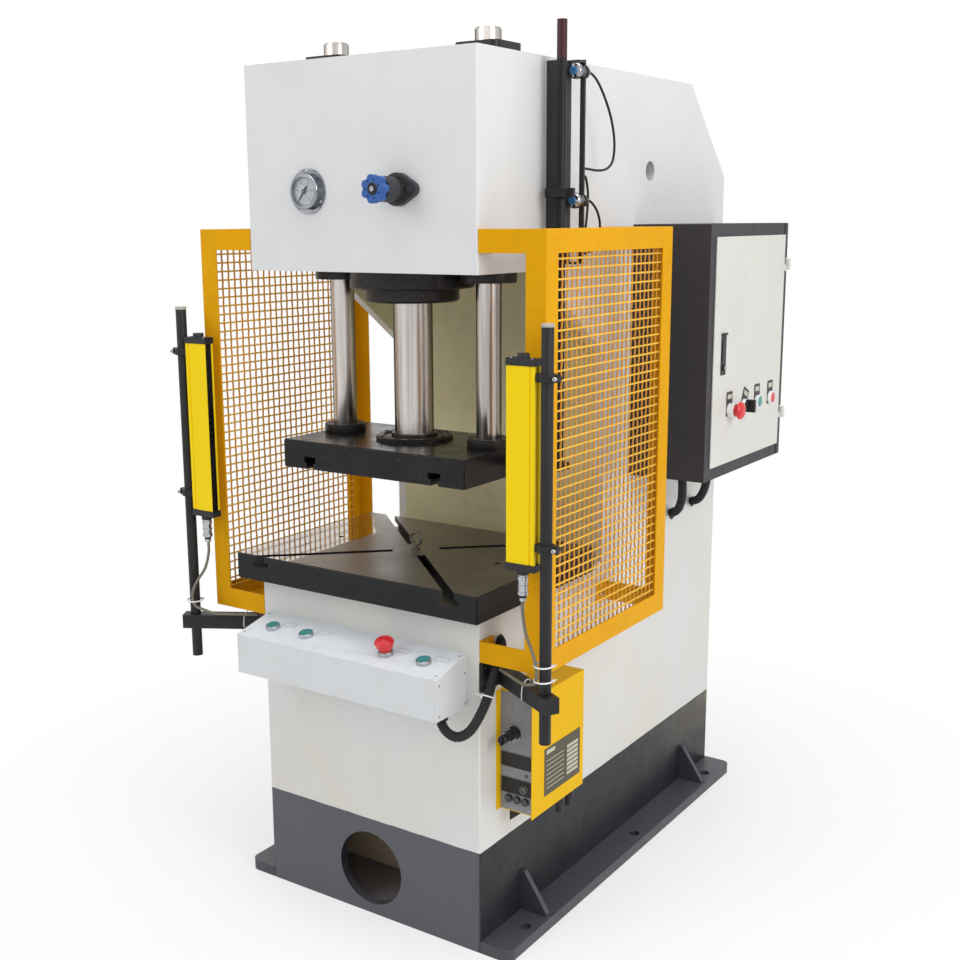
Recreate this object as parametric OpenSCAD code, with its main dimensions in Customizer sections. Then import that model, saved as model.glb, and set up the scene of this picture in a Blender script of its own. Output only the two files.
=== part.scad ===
/* [Body frame] */
// Width of the welded C-frame over its two side plates
body_w = 550; // [460:2:640]
// Depth of the C-frame from front to back
body_d = 1084; // [1000:2:1200]
// Height of the head's top above the floor
head_top_z = 1728; // [1710:1:1800]
// Height of the head's underside above the floor
head_bottom_z = 1333; // [1300:1:1345]
// Leg of the slope that cuts the top rear corner of the frame
back_chamfer = 204; // [120:2:260]
// Depth of the throat behind the front face
throat_depth = 480; // [440:2:540]
// Length of the throat's sloping corner along the head
gusset_run = 259; // [120:1:300]
// Drop of the throat's sloping corner down the column
gusset_drop = 184; // [90:1:220]
// Thickness of the two side plates
side_t = 20; // [12:1:28]
// Thickness of the head's front plate
head_front_t = 25; // [14:1:30]
// Thickness of the head's top plate
head_top_t = 25; // [16:1:30]
// Thickness of the head's bottom plate, which carries the cylinder
head_bottom_t = 40; // [30:1:50]
// Thickness of the plate that closes the back of the throat
throat_t = 20; // [12:1:30]
// Thickness of the bed plate below the table
bed_t = 40; // [25:1:50]
// Thickness of the lower front plate
lower_front_t = 20; // [12:1:28]
// Thickness of the folded rear plate
rear_t = 12; // [8:1:16]
// Radius of the frame's ground upright corners
frame_corner_r = 4; // [1:0.5:10]
// Diameter of the round hole in the lower front plate
front_hole_d = 160; // [100:2:180]
// Height of the round hole's centre above the floor
front_hole_z = 102; // [95:1:140]
// Diameter of the lifting hole in each side plate
lift_hole_d = 42; // [30:1:60]
// Distance of the lifting holes from the back face
lift_hole_back = 407; // [340:1:460]
// Distance of the lifting holes below the head's top
lift_hole_drop = 197; // [150:1:220]

/* [Feet] */
// How far each foot plate reaches out from the side plate
foot_reach = 70; // [60:1:100]
// Thickness of the foot plates
foot_t = 24; // [16:1:32]
// Radius of the foot plates' outer corners
foot_corner_r = 20; // [5:1:40]
// Diameter of the anchor bolt holes
anchor_d = 26; // [18:1:34]
// Distance of the end anchor holes from the front and back faces
anchor_inset = 100; // [60:1:130]
// Distance of the anchor holes from the side plate's outer face
anchor_off = 42; // [36:1:46]
// Distance of the middle anchor holes behind the frame's centre
anchor_mid = 43; // [0:1:60]
// Height of the foot gussets above the foot plate
foot_gusset_h = 86; // [50:1:110]
// Length of the foot gussets along the foot plate
foot_gusset_l = 62; // [40:1:66]
// Thickness of the foot gussets
foot_gusset_t = 12; // [8:1:18]
// Distance of the foot gussets from the front and back faces
foot_gusset_inset = 159; // [150:1:220]

/* [Rear cover] */
// Width of the removable rear cover
cover_w = 400; // [320:2:440]
// Height of the removable rear cover
cover_h = 900; // [700:2:1000]
// Height of the rear cover's lower edge above the floor
cover_z = 240; // [200:2:320]
// Thickness of the rear cover's sheet
cover_t = 3; // [2:0.5:5]
// Overlap of the rear cover round its opening
cover_lap = 20; // [12:1:30]
// Number of vent slots in each column of the rear cover
vent_rows = 9; // [4:1:12]
// Length of each vent slot
vent_l = 110; // [60:2:120]
// Height of each vent slot
vent_h = 8; // [5:1:12]

/* [Table] */
// Width of the table
table_w = 604; // [560:2:640]
// Depth of the table
table_d = 448; // [400:2:470]
// Overhang of the table in front of the frame's front face
table_overhang = 47; // [30:1:60]
// Thickness of the table
table_t = 54; // [46:1:70]
// Height of the table's top face above the floor
table_top_z = 752; // [730:1:770]
// Angle of the diagonal T-slots from the table's width
slot_angle = 43; // [38:1:48]
// Width of the T-slots' necks
slot_w = 18; // [14:1:22]
// Depth of the T-slots' necks
slot_neck = 13; // [8:1:18]
// Width of the T-slots' wide part
tee_w = 30; // [26:1:36]
// Height of the T-slots' wide part
tee_h = 13; // [9:1:16]
// Diameter of the round centre plug
plug_d = 100; // [80:1:130]
// Thickness of the centre plug
plug_t = 30; // [28:1:38]
// Outer diameter of the lifting eye's ring
eye_d = 32; // [26:1:44]
// Thickness of the lifting eye's ring
eye_t = 6; // [4:0.5:8]
// Diameter of the two small tapped holes in the table
table_hole_d = 12; // [8:1:16]
// Distance of the small tapped holes from the table's centre
table_hole_x = 203; // [150:1:240]
// Size of the table's edge chamfers
table_edge = 2; // [1:0.5:4]

/* [Slide] */
// Width of the slide plate
slide_w = 453; // [430:1:480]
// Depth of the slide plate
slide_d = 270; // [250:1:300]
// Distance of the slide's centre in front of the ram's centre line
slide_ahead = 15; // [0:1:30]
// Thickness of the slide plate
slide_t = 58; // [50:1:70]
// Height of the slide plate's top face at rest
slide_top_z = 989; // [960:1:1000]
// Travel of the slide upwards from rest
slide_up = 210; // [150:1:215]
// Travel of the slide downwards from rest
slide_down = 110; // [60:1:115]
// Distance of the ram's centre line from the front face
ram_from_front = 175; // [160:1:190]
// Offset of the slide's two T-slots from the centre
slide_slot_x = 156; // [120:1:180]
// Diameter of the piston rod
ram_d = 80; // [60:1:100]
// Diameter of the round ram flange on the slide
ram_flange_d = 158; // [130:1:180]
// Thickness of the ram flange's plate
ram_flange_t = 9; // [6:1:14]
// Height of the ram flange's raised ring above its plate
ram_ring_h = 5; // [3:1:8]
// Diameter of the two guide rods
guide_d = 50; // [36:1:60]
// Distance between the guide rods' centre lines
guide_span = 367; // [340:1:374]
// Height of the guide rods' tops at rest
guide_top_z = 1780; // [1776:1:1880]
// Depth of the rods' seats in the slide plate
rod_seat = 30; // [16:1:36]
// Diameter of the guide rods' clamp collars
collar_d = 88; // [76:1:100]
// Height of the clamp collars
collar_h = 18; // [12:1:26]

/* [Cylinder] */
// Bore of the cylinder
bore_d = 125; // [110:1:140]
// Outer diameter of the cylinder's barrel
barrel_d = 165; // [155:1:185]
// Diameter of the cylinder's flange under the head
flange_d = 252; // [230:1:252]
// Height of the cylinder's flange
flange_h = 36; // [24:1:40]
// Diameter of the gland below the flange
gland_d = 190; // [170:1:200]
// Height of the gland below the flange
gland_h = 27; // [18:1:34]
// Depth of the gland's spigot inside the bore
spigot_h = 13; // [8:1:16]
// Thickness of the piston
piston_h = 38; // [28:1:42]
// Thickness of the barrel's end cap
cap_h = 22; // [16:1:26]

/* [Guide bushes] */
// Outer diameter of the bushes inside the head
bush_d = 66; // [62:1:72]
// Diameter of the bushes' round lower flange
bush_flange_d = 110; // [80:1:112]
// Height of the bushes' round lower flange
bush_flange_h = 22; // [10:1:30]
// Side of the bushes' square top flange
bush_top_w = 96; // [76:1:104]
// Thickness of the bushes' square top flange
bush_top_t = 24; // [6:1:28]

/* [Trip gear] */
// Distance of the trip rod from the front face
trip_from_front = 217; // [205:1:224]
// Diameter of the trip rod
trip_d = 19; // [12:1:20]
// Distance of the trip rod's centre from the side plate's outer face
trip_off = 43; // [38:1:48]
// Height of the trip rod's top at rest
trip_top_z = 1788; // [1770:1:1850]
// Height of the trip dog's underside at rest
dog_z = 1470; // [1460:1:1480]
// Height of the trip dog
dog_h = 17; // [12:1:22]
// Gap between the side plate and the trip dog's bar
dog_gap = 10; // [3:1:14]
// Length of the trip dog's bar across the sensor column
dog_l = 62; // [54:1:66]
// Distance of the sensor column from the front face
column_from_front = 235; // [232:1:250]
// Width of the sensor column's square tube along the frame
column_w = 33; // [28:1:40]
// Depth of the sensor column away from the frame
column_d = 35; // [30:1:36]
// Wall of the sensor column
column_t = 4; // [3:0.5:6]
// Height of the sensor column's lower end
column_low_z = 1345; // [1335:1:1360]
// Diameter of the two proximity sensors' heads
sensor_d = 30; // [24:1:32]
// Diameter of the proximity sensors' coloured faces
sensor_face_d = 22; // [16:1:23]
// Diameter of the proximity sensors' threaded bodies
sensor_body_d = 18; // [14:1:20]
// Length of the proximity sensors without their glands
sensor_l = 49; // [46:1:60]
// Distance of the sensors' faces behind the column's front
sensor_back = 7; // [5:1:12]
// Distance of the sensors' centre lines from the side plate's outer face
sensor_off = 52; // [52:1:58]
// Height of the lower sensor
sensor_low_z = 1464; // [1450:1:1470]
// Height of the upper sensor
sensor_high_z = 1700; // [1690:1:1704]
// Distance of the sensor strip behind the sensors' faces
strip_back = 37; // [30:1:38]
// Width of the sensor strip
strip_w = 10; // [8:1:14]
// Thickness of the sensor strip
strip_t = 5; // [3:0.5:8]

/* [Gauge and valve] */
// Height of the gauge and the valve above the floor
instrument_z = 1485; // [1440:1:1560]
// Distance of the gauge from the centre line
gauge_x = -116; // [-150:1:-90]
// Diameter of the gauge's flange
gauge_flange_d = 86; // [78:1:100]
// Diameter of the gauge's case
gauge_d = 68; // [56:1:72]
// Distance that the gauge's case stands out of the head
gauge_out = 17; // [12:1:24]
// Distance that the gauge's case reaches behind the head's front face
gauge_back = 36; // [30:1:50]
// Diameter of the dial
dial_d = 58; // [46:1:58]
// Depth of the dial below the case's rim
dial_deep = 7; // [5:1:9]
// Angle of the pointer at rest, from straight down
pointer_rest = 38; // [20:1:60]
// Distance of the relief valve from the centre line
valve_x = 104; // [80:1:150]
// Length of the valve's oval flange
valve_flange_l = 90; // [78:1:110]
// Height of the valve's oval flange
valve_flange_h = 60; // [46:1:64]
// Thickness of the valve's oval flange
valve_flange_t = 12; // [8:1:18]
// Diameter of the valve's round body
valve_d = 46; // [34:1:46]
// Length of the valve's round body in front of the flange
valve_l = 50; // [40:1:70]
// Diameter of the handwheel over its lobes
wheel_d = 52; // [46:1:70]
// Thickness of the handwheel
wheel_t = 16; // [12:1:24]
// Number of lobes on the handwheel
wheel_lobes = 7; // [5:1:10]

/* [Control box] */
// Length of the two-hand control box
box_w = 504; // [460:2:540]
// Offset of the control box to the left of the centre line
box_off = 5; // [0:1:20]
// Depth of the control box
box_d = 102; // [90:1:130]
// Height of the control box's rear top edge above the floor
box_top_z = 620; // [600:1:640]
// Height of the control box's back
box_h = 106; // [90:1:130]
// Drop of the control box's top towards its front
box_drop = 23; // [10:1:30]
// Thickness of the control box's sheet
box_t = 2; // [1.5:0.5:3]
// Depth of the lips on the control box's end covers
box_lip = 14; // [8:1:20]
// Offset of the outer buttons from the box's centre
button_outer = 192; // [170:1:205]
// Offset of the inner buttons from the box's centre
button_inner = 102; // [70:1:130]
// Diameter of the operators' chrome bezels
bezel_d = 30; // [28:0.5:34]
// Height of the operators' bezels
bezel_h = 9; // [6:0.5:14]
// Diameter of the operators' shanks through the sheet
shank_d = 22; // [20:0.5:24]
// Length of the operators' shanks behind the sheet
shank_l = 30; // [20:1:34]
// Diameter of the push buttons
button_d = 24; // [20:0.5:25]
// Travel of the push buttons
button_travel = 4; // [2:0.5:5]
// Diameter of the mushroom heads
mushroom_d = 40; // [34:1:44]
// Height of the mushroom heads above their bezels
mushroom_h = 27; // [20:1:34]

/* [Electrical cabinet] */
// Width of the cabinet along the frame's depth
cab_w = 432; // [400:2:460]
// Height of the cabinet
cab_h = 548; // [500:2:560]
// Depth of the cabinet
cab_d = 180; // [150:2:220]
// Distance of the cabinet's front corner from the frame's front face
cab_from_front = 603; // [580:1:620]
// Height of the cabinet's underside above the floor
cab_z = 870; // [840:1:900]
// Thickness of the cabinet's sheet
cab_t = 2; // [1.5:0.5:3]
// Width of the rim on the lock side of the door
rim_lock = 37; // [24:1:40]
// Width of the rim on the hinge side of the door
rim_hinge = 12; // [10:1:16]
// Width of the rim above and below the door
rim_end = 37; // [24:1:40]
// Overlap of the door over its opening
door_lap = 10; // [6:1:10]
// Thickness of the door's face
door_t = 3; // [2:0.5:4]
// Depth of the door's inner edge
door_edge = 14; // [8:1:20]
// Diameter of the hinges' knuckles
knuckle_d = 10; // [8:0.5:12]
// Height of each hinge
hinge_h = 26; // [20:1:34]
// Height of the door's operators above the door's lower edge
operator_rise = 119; // [80:1:150]
// Spacing of the door's operators
operator_pitch = 80; // [66:1:84]
// Distance of the first operator from the door's lock edge
operator_start = 90; // [70:1:95]
// Height of the flush latch
latch_h = 88; // [70:1:110]
// Width of the flush latch
latch_w = 24; // [16:1:28]
// Height of the flush latch's lower end above the door's lower edge
latch_rise = 200; // [180:1:240]
// Distance of the flush latch from the door's lock edge
latch_inset = 48; // [40:1:54]

/* [Safety controller] */
// Width of the controller away from the frame
ctrl_w = 83; // [70:1:90]
// Depth of the controller along the frame
ctrl_d = 202; // [170:1:230]
// Height of the controller
ctrl_h = 249; // [200:1:250]
// Height of the controller's underside above the floor
ctrl_z = 284; // [270:1:300]
// Distance of the controller's front from the frame's front face
ctrl_from_front = 58; // [40:1:80]
// Distance of the grey panel behind the cover's front edge
ctrl_recess = 14; // [8:1:20]
// Thickness of the controller's cover
ctrl_t = 2; // [1.5:0.5:3]
// Distance of the key switch below the controller's top
key_drop = 85; // [70:1:95]

/* [Side guards] */
// Distance of the guards' outer faces from the side plates
guard_reach = 141; // [110:1:160]
// Height of the guards' lower edge above the floor
guard_z = 608; // [604:1:640]
// Height of the guards
guard_h = 806; // [740:1:850]
// Depth of the guards from front to back
guard_d = 500; // [460:1:560]
// Distance of the guards' front behind the frame's front face
guard_inset = 1; // [1:1:20]
// Leg of the guards' angle section
angle_w = 42; // [34:1:50]
// Thickness of the guards' angle section
angle_t = 4; // [3:0.5:6]
// Thickness of the mesh's wires
wire_d = 4; // [3:0.5:5]
// Openings of the mesh along the guard's depth
mesh_columns = 8; // [4:1:8]
// Openings of the mesh along the guard's height
mesh_rows = 15; // [8:1:15]
// Length of the guards' fixing feet
guard_foot = 44; // [30:1:46]

/* [Light curtains] */
// Distance of the poles from the side plates
pole_off = 168; // [160:1:190]
// Distance of the poles in front of the frame's front face
pole_ahead = 38; // [30:1:60]
// Diameter of the poles
pole_d = 22; // [18:1:28]
// Height of the poles' lower ends above the floor
pole_z = 498; // [440:1:530]
// Length of the poles
pole_l = 757; // [720:1:820]
// Width of each curtain's housing
curtain_w = 58; // [50:1:62]
// Depth of each curtain's housing
curtain_d = 22; // [20:1:36]
// Length of each curtain's housing
curtain_l = 353; // [330:1:370]
// Height of the housings' lower ends above the floor
curtain_z = 830; // [815:1:845]
// Gap between each housing and its pole
curtain_gap = 8; // [7:1:14]
// Height of the housings' end caps
curtain_cap_h = 13; // [8:1:18]
// Side of the arms' square tube
arm_w = 30; // [28:1:36]
// Wall of the arms' square tube
arm_t = 3; // [2:0.5:4]
// Height of the arms' centre lines above the floor
arm_z = 577; // [570:1:580]
// Length of the arms beyond the poles
arm_past = 26; // [22:1:40]
// Distance of the arms' roots behind the frame's front face
arm_root = 60; // [50:1:66]
// Length of the arms' bracket plates
bracket_l = 76; // [70:1:90]
// Height of the arms' bracket plates
bracket_h = 58; // [44:1:58]
// Thickness of the arms' bracket plates
bracket_t = 8; // [5:1:12]
// Height of the pole clamps
clamp_h = 14; // [10:1:20]
// Distance of the upper pole clamps below the housings' upper ends
clamp_drop = 19; // [14:1:40]
// Distance of the lower pole clamps above the housings' lower ends
clamp_rise = 33; // [14:1:40]
// Diameter of the plugs below the housings
lead_plug_d = 18; // [12:1:20]

/* [Power unit] */
// Height of the oil tank's underside above the floor
tank_z = 240; // [200:2:280]
// Height of the oil tank
tank_h = 330; // [260:2:360]
// Wall of the oil tank
tank_t = 6; // [4:1:8]
// Diameter of the electric motor
motor_d = 180; // [140:2:220]
// Height of the electric motor
motor_h = 300; // [220:2:340]
// Diameter of the pump below the motor
pump_d = 90; // [70:2:120]
// Length of the pump below the motor's flange
pump_l = 150; // [110:2:200]

/* [Cables] */
// Diameter of the sensors' and curtains' leads
lead_d = 6; // [4:0.5:8]
// Diameter of the flexible conduits
conduit_d = 20; // [16:1:24]

/* [Hidden] */

// Clearances: a running fit on the radius, a loose fit, and room inside a cut
run_gap = 0.05;
loose = 0.3;
eps = 0.5;
far = 3000;

// Faces of the frame
front = -body_d / 2;
back = body_d / 2;
side_x = body_w / 2;
inner_x = side_x - side_t;
throat_y = front + throat_depth;
bed_top_z = table_top_z - table_t;
slope_z = head_top_z - back_chamfer;
slope_y = back - back_chamfer;

// Ram, guides and slide
ram_y = front + ram_from_front;
guide_x = guide_span / 2;
slide_low_z = slide_top_z - slide_t;
rod_low_z = slide_top_z - rod_seat;
flange_low_z = head_bottom_z - flange_h;
gland_low_z = flange_low_z - gland_h;
piston_rest_z = flange_low_z + spigot_h + 2 + slide_down;
barrel_top_z = piston_rest_z + piston_h + slide_up + 3;
bush_low_z = head_bottom_z - bush_flange_h;

// Trip gear
trip_x = side_x + trip_off;
trip_y = front + trip_from_front;
column_y = front + column_from_front;
column_top_z = head_top_z - 12;
sensor_x = side_x + sensor_off;
nose_y = column_y + sensor_back;
strip_y = nose_y + strip_back;

// Gauge and valve
case_front = front - gauge_out;
dial_y = case_front + dial_deep;
valve_face = front - valve_flange_t - valve_l;

// Control box: frame of the sloping top, with x along the box and z out of the face
box_x = -box_off;
box_tilt = atan2(box_drop, box_d);
box_low_z = box_top_z - box_h;
box_front = front - box_d;
button_y = -box_d * 0.56 / cos(box_tilt);

// Cabinet and its door
cab_y = front + cab_from_front;
cab_x = side_x;
cab_face = cab_x + cab_d;
door_x = cab_face + loose;
door_face = door_x + door_t;
open_y0 = cab_y + rim_lock;
open_y1 = cab_y + cab_w - rim_hinge - door_lap;
open_z0 = cab_z + rim_end;
open_z1 = cab_z + cab_h - rim_end;
door_y0 = open_y0 - door_lap;
door_y1 = open_y1 + door_lap;
door_z0 = open_z0 - door_lap;
door_z1 = open_z1 + door_lap;
hinge_x = door_face + knuckle_d / 2 - 2;
hinge_y = cab_y + cab_w + knuckle_d / 2 + 1;
hinge_zs = [door_z0 + 62, door_z1 - 82];
operator_z = door_z0 + operator_rise;
operator_ys = [for (k = [0:3]) door_y0 + operator_start + k * operator_pitch];
latch_y = door_y0 + latch_inset;
latch_z = door_z0 + latch_rise;
pivot_x = door_face + 3;
plate_x = cab_x + 14;

// Controller
ctrl_x = side_x;
ctrl_y = front + ctrl_from_front;
ctrl_face = ctrl_y + ctrl_recess;
ctrl_mid_x = ctrl_x + ctrl_w / 2;
key_z = ctrl_z + ctrl_h - key_drop;
key_x = ctrl_mid_x - 9;
socket_z = ctrl_z + 27;
socket_d = 15;
socket_xs = [for (k = [-1:1]) ctrl_mid_x + k * 19];
outlet_d = 15;
outlet_x = ctrl_x + ctrl_w - 18;
outlet_ys = [for (k = [0:1]) ctrl_y + ctrl_d - 28 - k * 38];

// Guards
guard_x = side_x + guard_reach;
guard_y0 = front + guard_inset;
guard_y1 = guard_y0 + guard_d;
guard_z1 = guard_z + guard_h;

// Light curtains
pole_x = side_x + pole_off;
pole_y = front - pole_ahead;
curtain_x = pole_x - pole_d / 2 - curtain_gap;
clamp_zs = [curtain_z + clamp_rise, curtain_z + curtain_l - clamp_drop];
root_y = front + arm_root;
arm_dx = pole_x - side_x;
arm_dy = pole_y - root_y;
arm_turn = atan2(arm_dy, arm_dx);
arm_run = norm([arm_dx, arm_dy]);

// Power unit
tank_y0 = throat_y + throat_t + 40;
tank_y1 = back - rear_t - 40;
motor_y = (tank_y0 + tank_y1) / 2;
tank_top_z = tank_z + tank_h;

// Routes of the leads and conduits, chosen by hand
curtain_lead = [[394, -580, 760], [395, -580, 735], [404, -584, 700], [424, -592, 668],
    [434, -596, 640], [430, -594, 616], [414, -584, 606], [392, -572, 598],
    [366, -557, 597], [338, -541, 597], [312, -526, 597]];
top_sensor_lead = [[327, -238.7, 1700], [327, -226, 1699], [327, -203, 1687], [327, -176, 1662],
    [327, -151, 1630], [327, -136, 1598], [327, -131, 1568], [327, -139, 1540],
    [327, -163, 1526], [327, -200, 1522], [327, -240, 1524], [327, -257.6, 1524]];
low_sensor_lead = [[327, -238.7, 1464], [327, -226, 1463], [327, -202, 1448],
    [327, -187, 1424], [327, -190, 1396], [327, -212, 1374], [327, -240, 1365],
    [327, -257.6, 1365]];
strip_lead = [[327, -257.6, 1510], [327, -247, 1509], [322, -232, 1497], [321, -225, 1474],
    [321, -228, 1440], [322, -236, 1408], [326, -248, 1388], [326, -257.6, 1386]];
box_conduit = [[226, -600, 514], [227, -600, 496], [240, -600, 480], [262, -597, 474],
    [284, -588, 488], [297, -572, 518], [302, -553, 549], [302, -537, 577],
    [301, -521, 602], [297, -502, 620], [287, -483, 631], [270, -466, 635]];
cabinet_hose_front = [[360, 160, 869.4], [360, 161, 852], [354, 176, 826], [338, 208, 792],
    [314, 244, 762], [290, 272, 745], [266, 294, 736]];
cabinet_hose_rear = [[360, 300, 869.4], [360, 301, 852], [354, 312, 828], [336, 338, 793],
    [312, 366, 765], [288, 390, 751], [264, 408, 744]];

// A box between two opposite corners
module span(a, b) {
    translate(a) cube(b - a);
}

// An outline in y and z, extruded along x from x0 to x1
module along_x(x0, x1) {
    translate([x0, 0, 0]) rotate([90, 0, 90]) linear_extrude(x1 - x0) children();
}

// A cylinder along y from y0 to y1
module pin_y(x, z, d, y0, y1) {
    translate([x, y0, z]) rotate([-90, 0, 0]) cylinder(d = d, h = y1 - y0, $fn = 64);
}

// A cylinder along x from x0 to x1
module pin_x(y, z, d, x0, x1) {
    translate([x0, y, z]) rotate([0, 90, 0]) cylinder(d = d, h = x1 - x0, $fn = 64);
}

// A cylinder along z from z0 to z1
module pin_z(x, y, d, z0, z1) {
    translate([x, y, z0]) cylinder(d = d, h = z1 - z0, $fn = 64);
}

// The same piece on the right and, mirrored, on the left
module both_sides() {
    children();
    mirror([1, 0, 0]) children();
}

// A rectangle with rounded corners, centred
module round_rect(w, d, r) {
    square([w - 2 * r, d], center = true);
    square([w, d - 2 * r], center = true);
    for (sx = [-1, 1], sy = [-1, 1])
        translate([sx * (w / 2 - r), sy * (d / 2 - r)]) circle(r = r, $fn = 48);
}

// A plate with chamfered upper, lower and upright edges, centred in x and y
module edged_plate(w, d, t, e) {
    translate([-w / 2 + e, -d / 2, e]) cube([w - 2 * e, d, t - 2 * e]);
    translate([-w / 2, -d / 2 + e, e]) cube([w, d - 2 * e, t - 2 * e]);
    translate([-w / 2 + e, -d / 2 + e, 0]) cube([w - 2 * e, d - 2 * e, t]);
}

// Ring k of a tube: points round p, square to the direction t
function ring(p, t, r, sides) =
    let (u = cross(t, abs(t.x) < 0.8 ? [1, 0, 0] : [0, 1, 0]), a = u / norm(u), b = cross(t, a))
    [for (k = [0:sides - 1]) p + r * (cos(360 * k / sides) * a + sin(360 * k / sides) * b)];
function heading(path, i) =
    let (d = path[min(i + 1, len(path) - 1)] - path[max(i - 1, 0)]) d / norm(d);

// A tube swept along a route's points
module tube(path, d, sides) {
    n = len(path);
    points = [for (i = [0:n - 1]) each ring(path[i], heading(path, i), d / 2, sides)];
    walls = [for (i = [0:n - 2], k = [0:sides - 1])
        [i * sides + k, (i + 1) * sides + k, (i + 1) * sides + (k + 1) % sides,
            i * sides + (k + 1) % sides]];
    polyhedron(points, concat(walls, [[for (k = [0:sides - 1]) k]],
        [[for (k = [sides - 1:-1:0]) (n - 1) * sides + k]]), convexity = 6);
}

// ---- Welded frame ----

module side_outline() {
    polygon([[front, 0], [back, 0], [back, slope_z], [slope_y, head_top_z],
        [front, head_top_z], [front, head_bottom_z],
        [throat_y - gusset_run, head_bottom_z], [throat_y, head_bottom_z - gusset_drop],
        [throat_y, bed_top_z], [front, bed_top_z]]);
}

module side_plates() {
    color("lightgray") both_sides() difference() {
        intersection() {
            along_x(inner_x, side_x) side_outline();
            linear_extrude(head_top_z) round_rect(body_w, body_d, frame_corner_r);
        }
        pin_x(back - lift_hole_back, head_top_z - lift_hole_drop, lift_hole_d,
            inner_x - eps, side_x + eps);
    }
}

module head_front_plate() {
    color("lightgray") difference() {
        span([-inner_x, front, head_bottom_z], [inner_x, front + head_front_t, head_top_z]);
        pin_y(gauge_x, instrument_z, gauge_d + 2 * loose, front - eps, front + head_front_t + eps);
        pin_y(valve_x, instrument_z, valve_d - 10, front - eps, front + head_front_t + eps);
    }
}

module head_top_plate() {
    color("lightgray") difference() {
        span([-inner_x, front + head_front_t, head_top_z - head_top_t],
            [inner_x, slope_y, head_top_z]);
        both_sides() pin_z(guide_x, ram_y, bush_d + 2 * loose, head_top_z - head_top_t - eps,
            head_top_z + eps);
    }
}

module head_bottom_plate() {
    color("lightgray") difference() {
        span([-inner_x, front + head_front_t, head_bottom_z],
            [inner_x, throat_y + throat_t, head_bottom_z + head_bottom_t]);
        pin_z(0, ram_y, barrel_d + 2 * loose, head_bottom_z - eps,
            head_bottom_z + head_bottom_t + eps);
        both_sides() pin_z(guide_x, ram_y, bush_d + 2 * loose, head_bottom_z - eps,
            head_bottom_z + head_bottom_t + eps);
    }
}

module throat_plate() {
    color("lightgray") span([-inner_x, throat_y, bed_top_z],
        [inner_x, throat_y + throat_t, head_bottom_z]);
}

module bed_plate() {
    color("lightgray") span([-inner_x, front + lower_front_t, bed_top_z - bed_t],
        [inner_x, throat_y + throat_t, bed_top_z]);
}

module lower_front_plate() {
    color("lightgray") difference() {
        span([-inner_x, front, 0], [inner_x, front + lower_front_t, bed_top_z]);
        pin_y(0, front_hole_z, front_hole_d, front - eps, front + lower_front_t + eps);
    }
}

module rear_plate() {
    t = rear_t;
    color("lightgray") difference() {
        along_x(-inner_x, inner_x)
            polygon([[back, 0], [back, slope_z], [slope_y, head_top_z],
                [slope_y, head_top_z - t * sqrt(2)],
                [back - t, slope_z - t * (sqrt(2) - 1)], [back - t, 0]]);
        span([-cover_w / 2 + cover_lap, back - t - eps, cover_z + cover_lap],
            [cover_w / 2 - cover_lap, back + eps, cover_z + cover_h - cover_lap]);
    }
}

module rear_cover() {
    rise = (cover_h - 4 * cover_lap) / vent_rows;
    color("lightgray") difference() {
        span([-cover_w / 2, back, cover_z], [cover_w / 2, back + cover_t, cover_z + cover_h]);
        both_sides() for (k = [0:vent_rows - 1])
            span([cover_w / 4 - vent_l / 2, back - eps, cover_z + 2 * cover_lap + k * rise],
                [cover_w / 4 + vent_l / 2, back + cover_t + eps,
                    cover_z + 2 * cover_lap + k * rise + vent_h]);
    }
}

module foot_plates() {
    r = foot_corner_r;
    y = back - foot_gusset_inset;
    color("dimgray") both_sides() {
        difference() {
            union() {
                span([side_x, front, 0], [side_x + foot_reach - r, back, foot_t]);
                span([side_x, front + r, 0], [side_x + foot_reach, back - r, foot_t]);
                for (cy = [front + r, back - r])
                    pin_z(side_x + foot_reach - r, cy, 2 * r, 0, foot_t);
            }
            for (hy = [front + anchor_inset, anchor_mid, back - anchor_inset])
                pin_z(side_x + anchor_off, hy, anchor_d, -eps, foot_t + eps);
        }
        for (gy = [-y, y])
            translate([0, gy + foot_gusset_t / 2, 0]) rotate([90, 0, 0])
                linear_extrude(foot_gusset_t)
                    polygon([[side_x, foot_t], [side_x + foot_gusset_l, foot_t],
                        [side_x + foot_gusset_l, foot_t + 6], [side_x + 8, foot_t + foot_gusset_h],
                        [side_x, foot_t + foot_gusset_h]]);
    }
}

// ---- Table ----

module tee_slot(reach) {
    translate([0, -slot_w / 2, -slot_neck - eps]) cube([reach, slot_w, slot_neck + 2 * eps]);
    translate([0, -tee_w / 2, -slot_neck - tee_h]) cube([reach, tee_w, tee_h]);
}

module table() {
    mid_y = front - table_overhang + table_d / 2;
    color("dimgray") difference() {
        translate([0, mid_y, bed_top_z]) edged_plate(table_w, table_d, table_t, table_edge);
        translate([0, ram_y, table_top_z]) {
            for (a = [slot_angle, 180 - slot_angle, 180 + slot_angle, -slot_angle])
                rotate([0, 0, a]) tee_slot(table_w);
            translate([0, 0, -plug_t]) cylinder(d = plug_d, h = plug_t + eps, $fn = 96);
            for (sx = [-1, 1]) translate([sx * table_hole_x, 0, -plug_t])
                cylinder(d = table_hole_d, h = plug_t + eps, $fn = 48);
        }
    }
}

module centre_plug() {
    color("gray") difference() {
        pin_z(0, ram_y, plug_d - 2 * loose, table_top_z - plug_t, table_top_z);
        pin_z(0, ram_y, 8, table_top_z - plug_t + 8, table_top_z + eps);
    }
}

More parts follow.
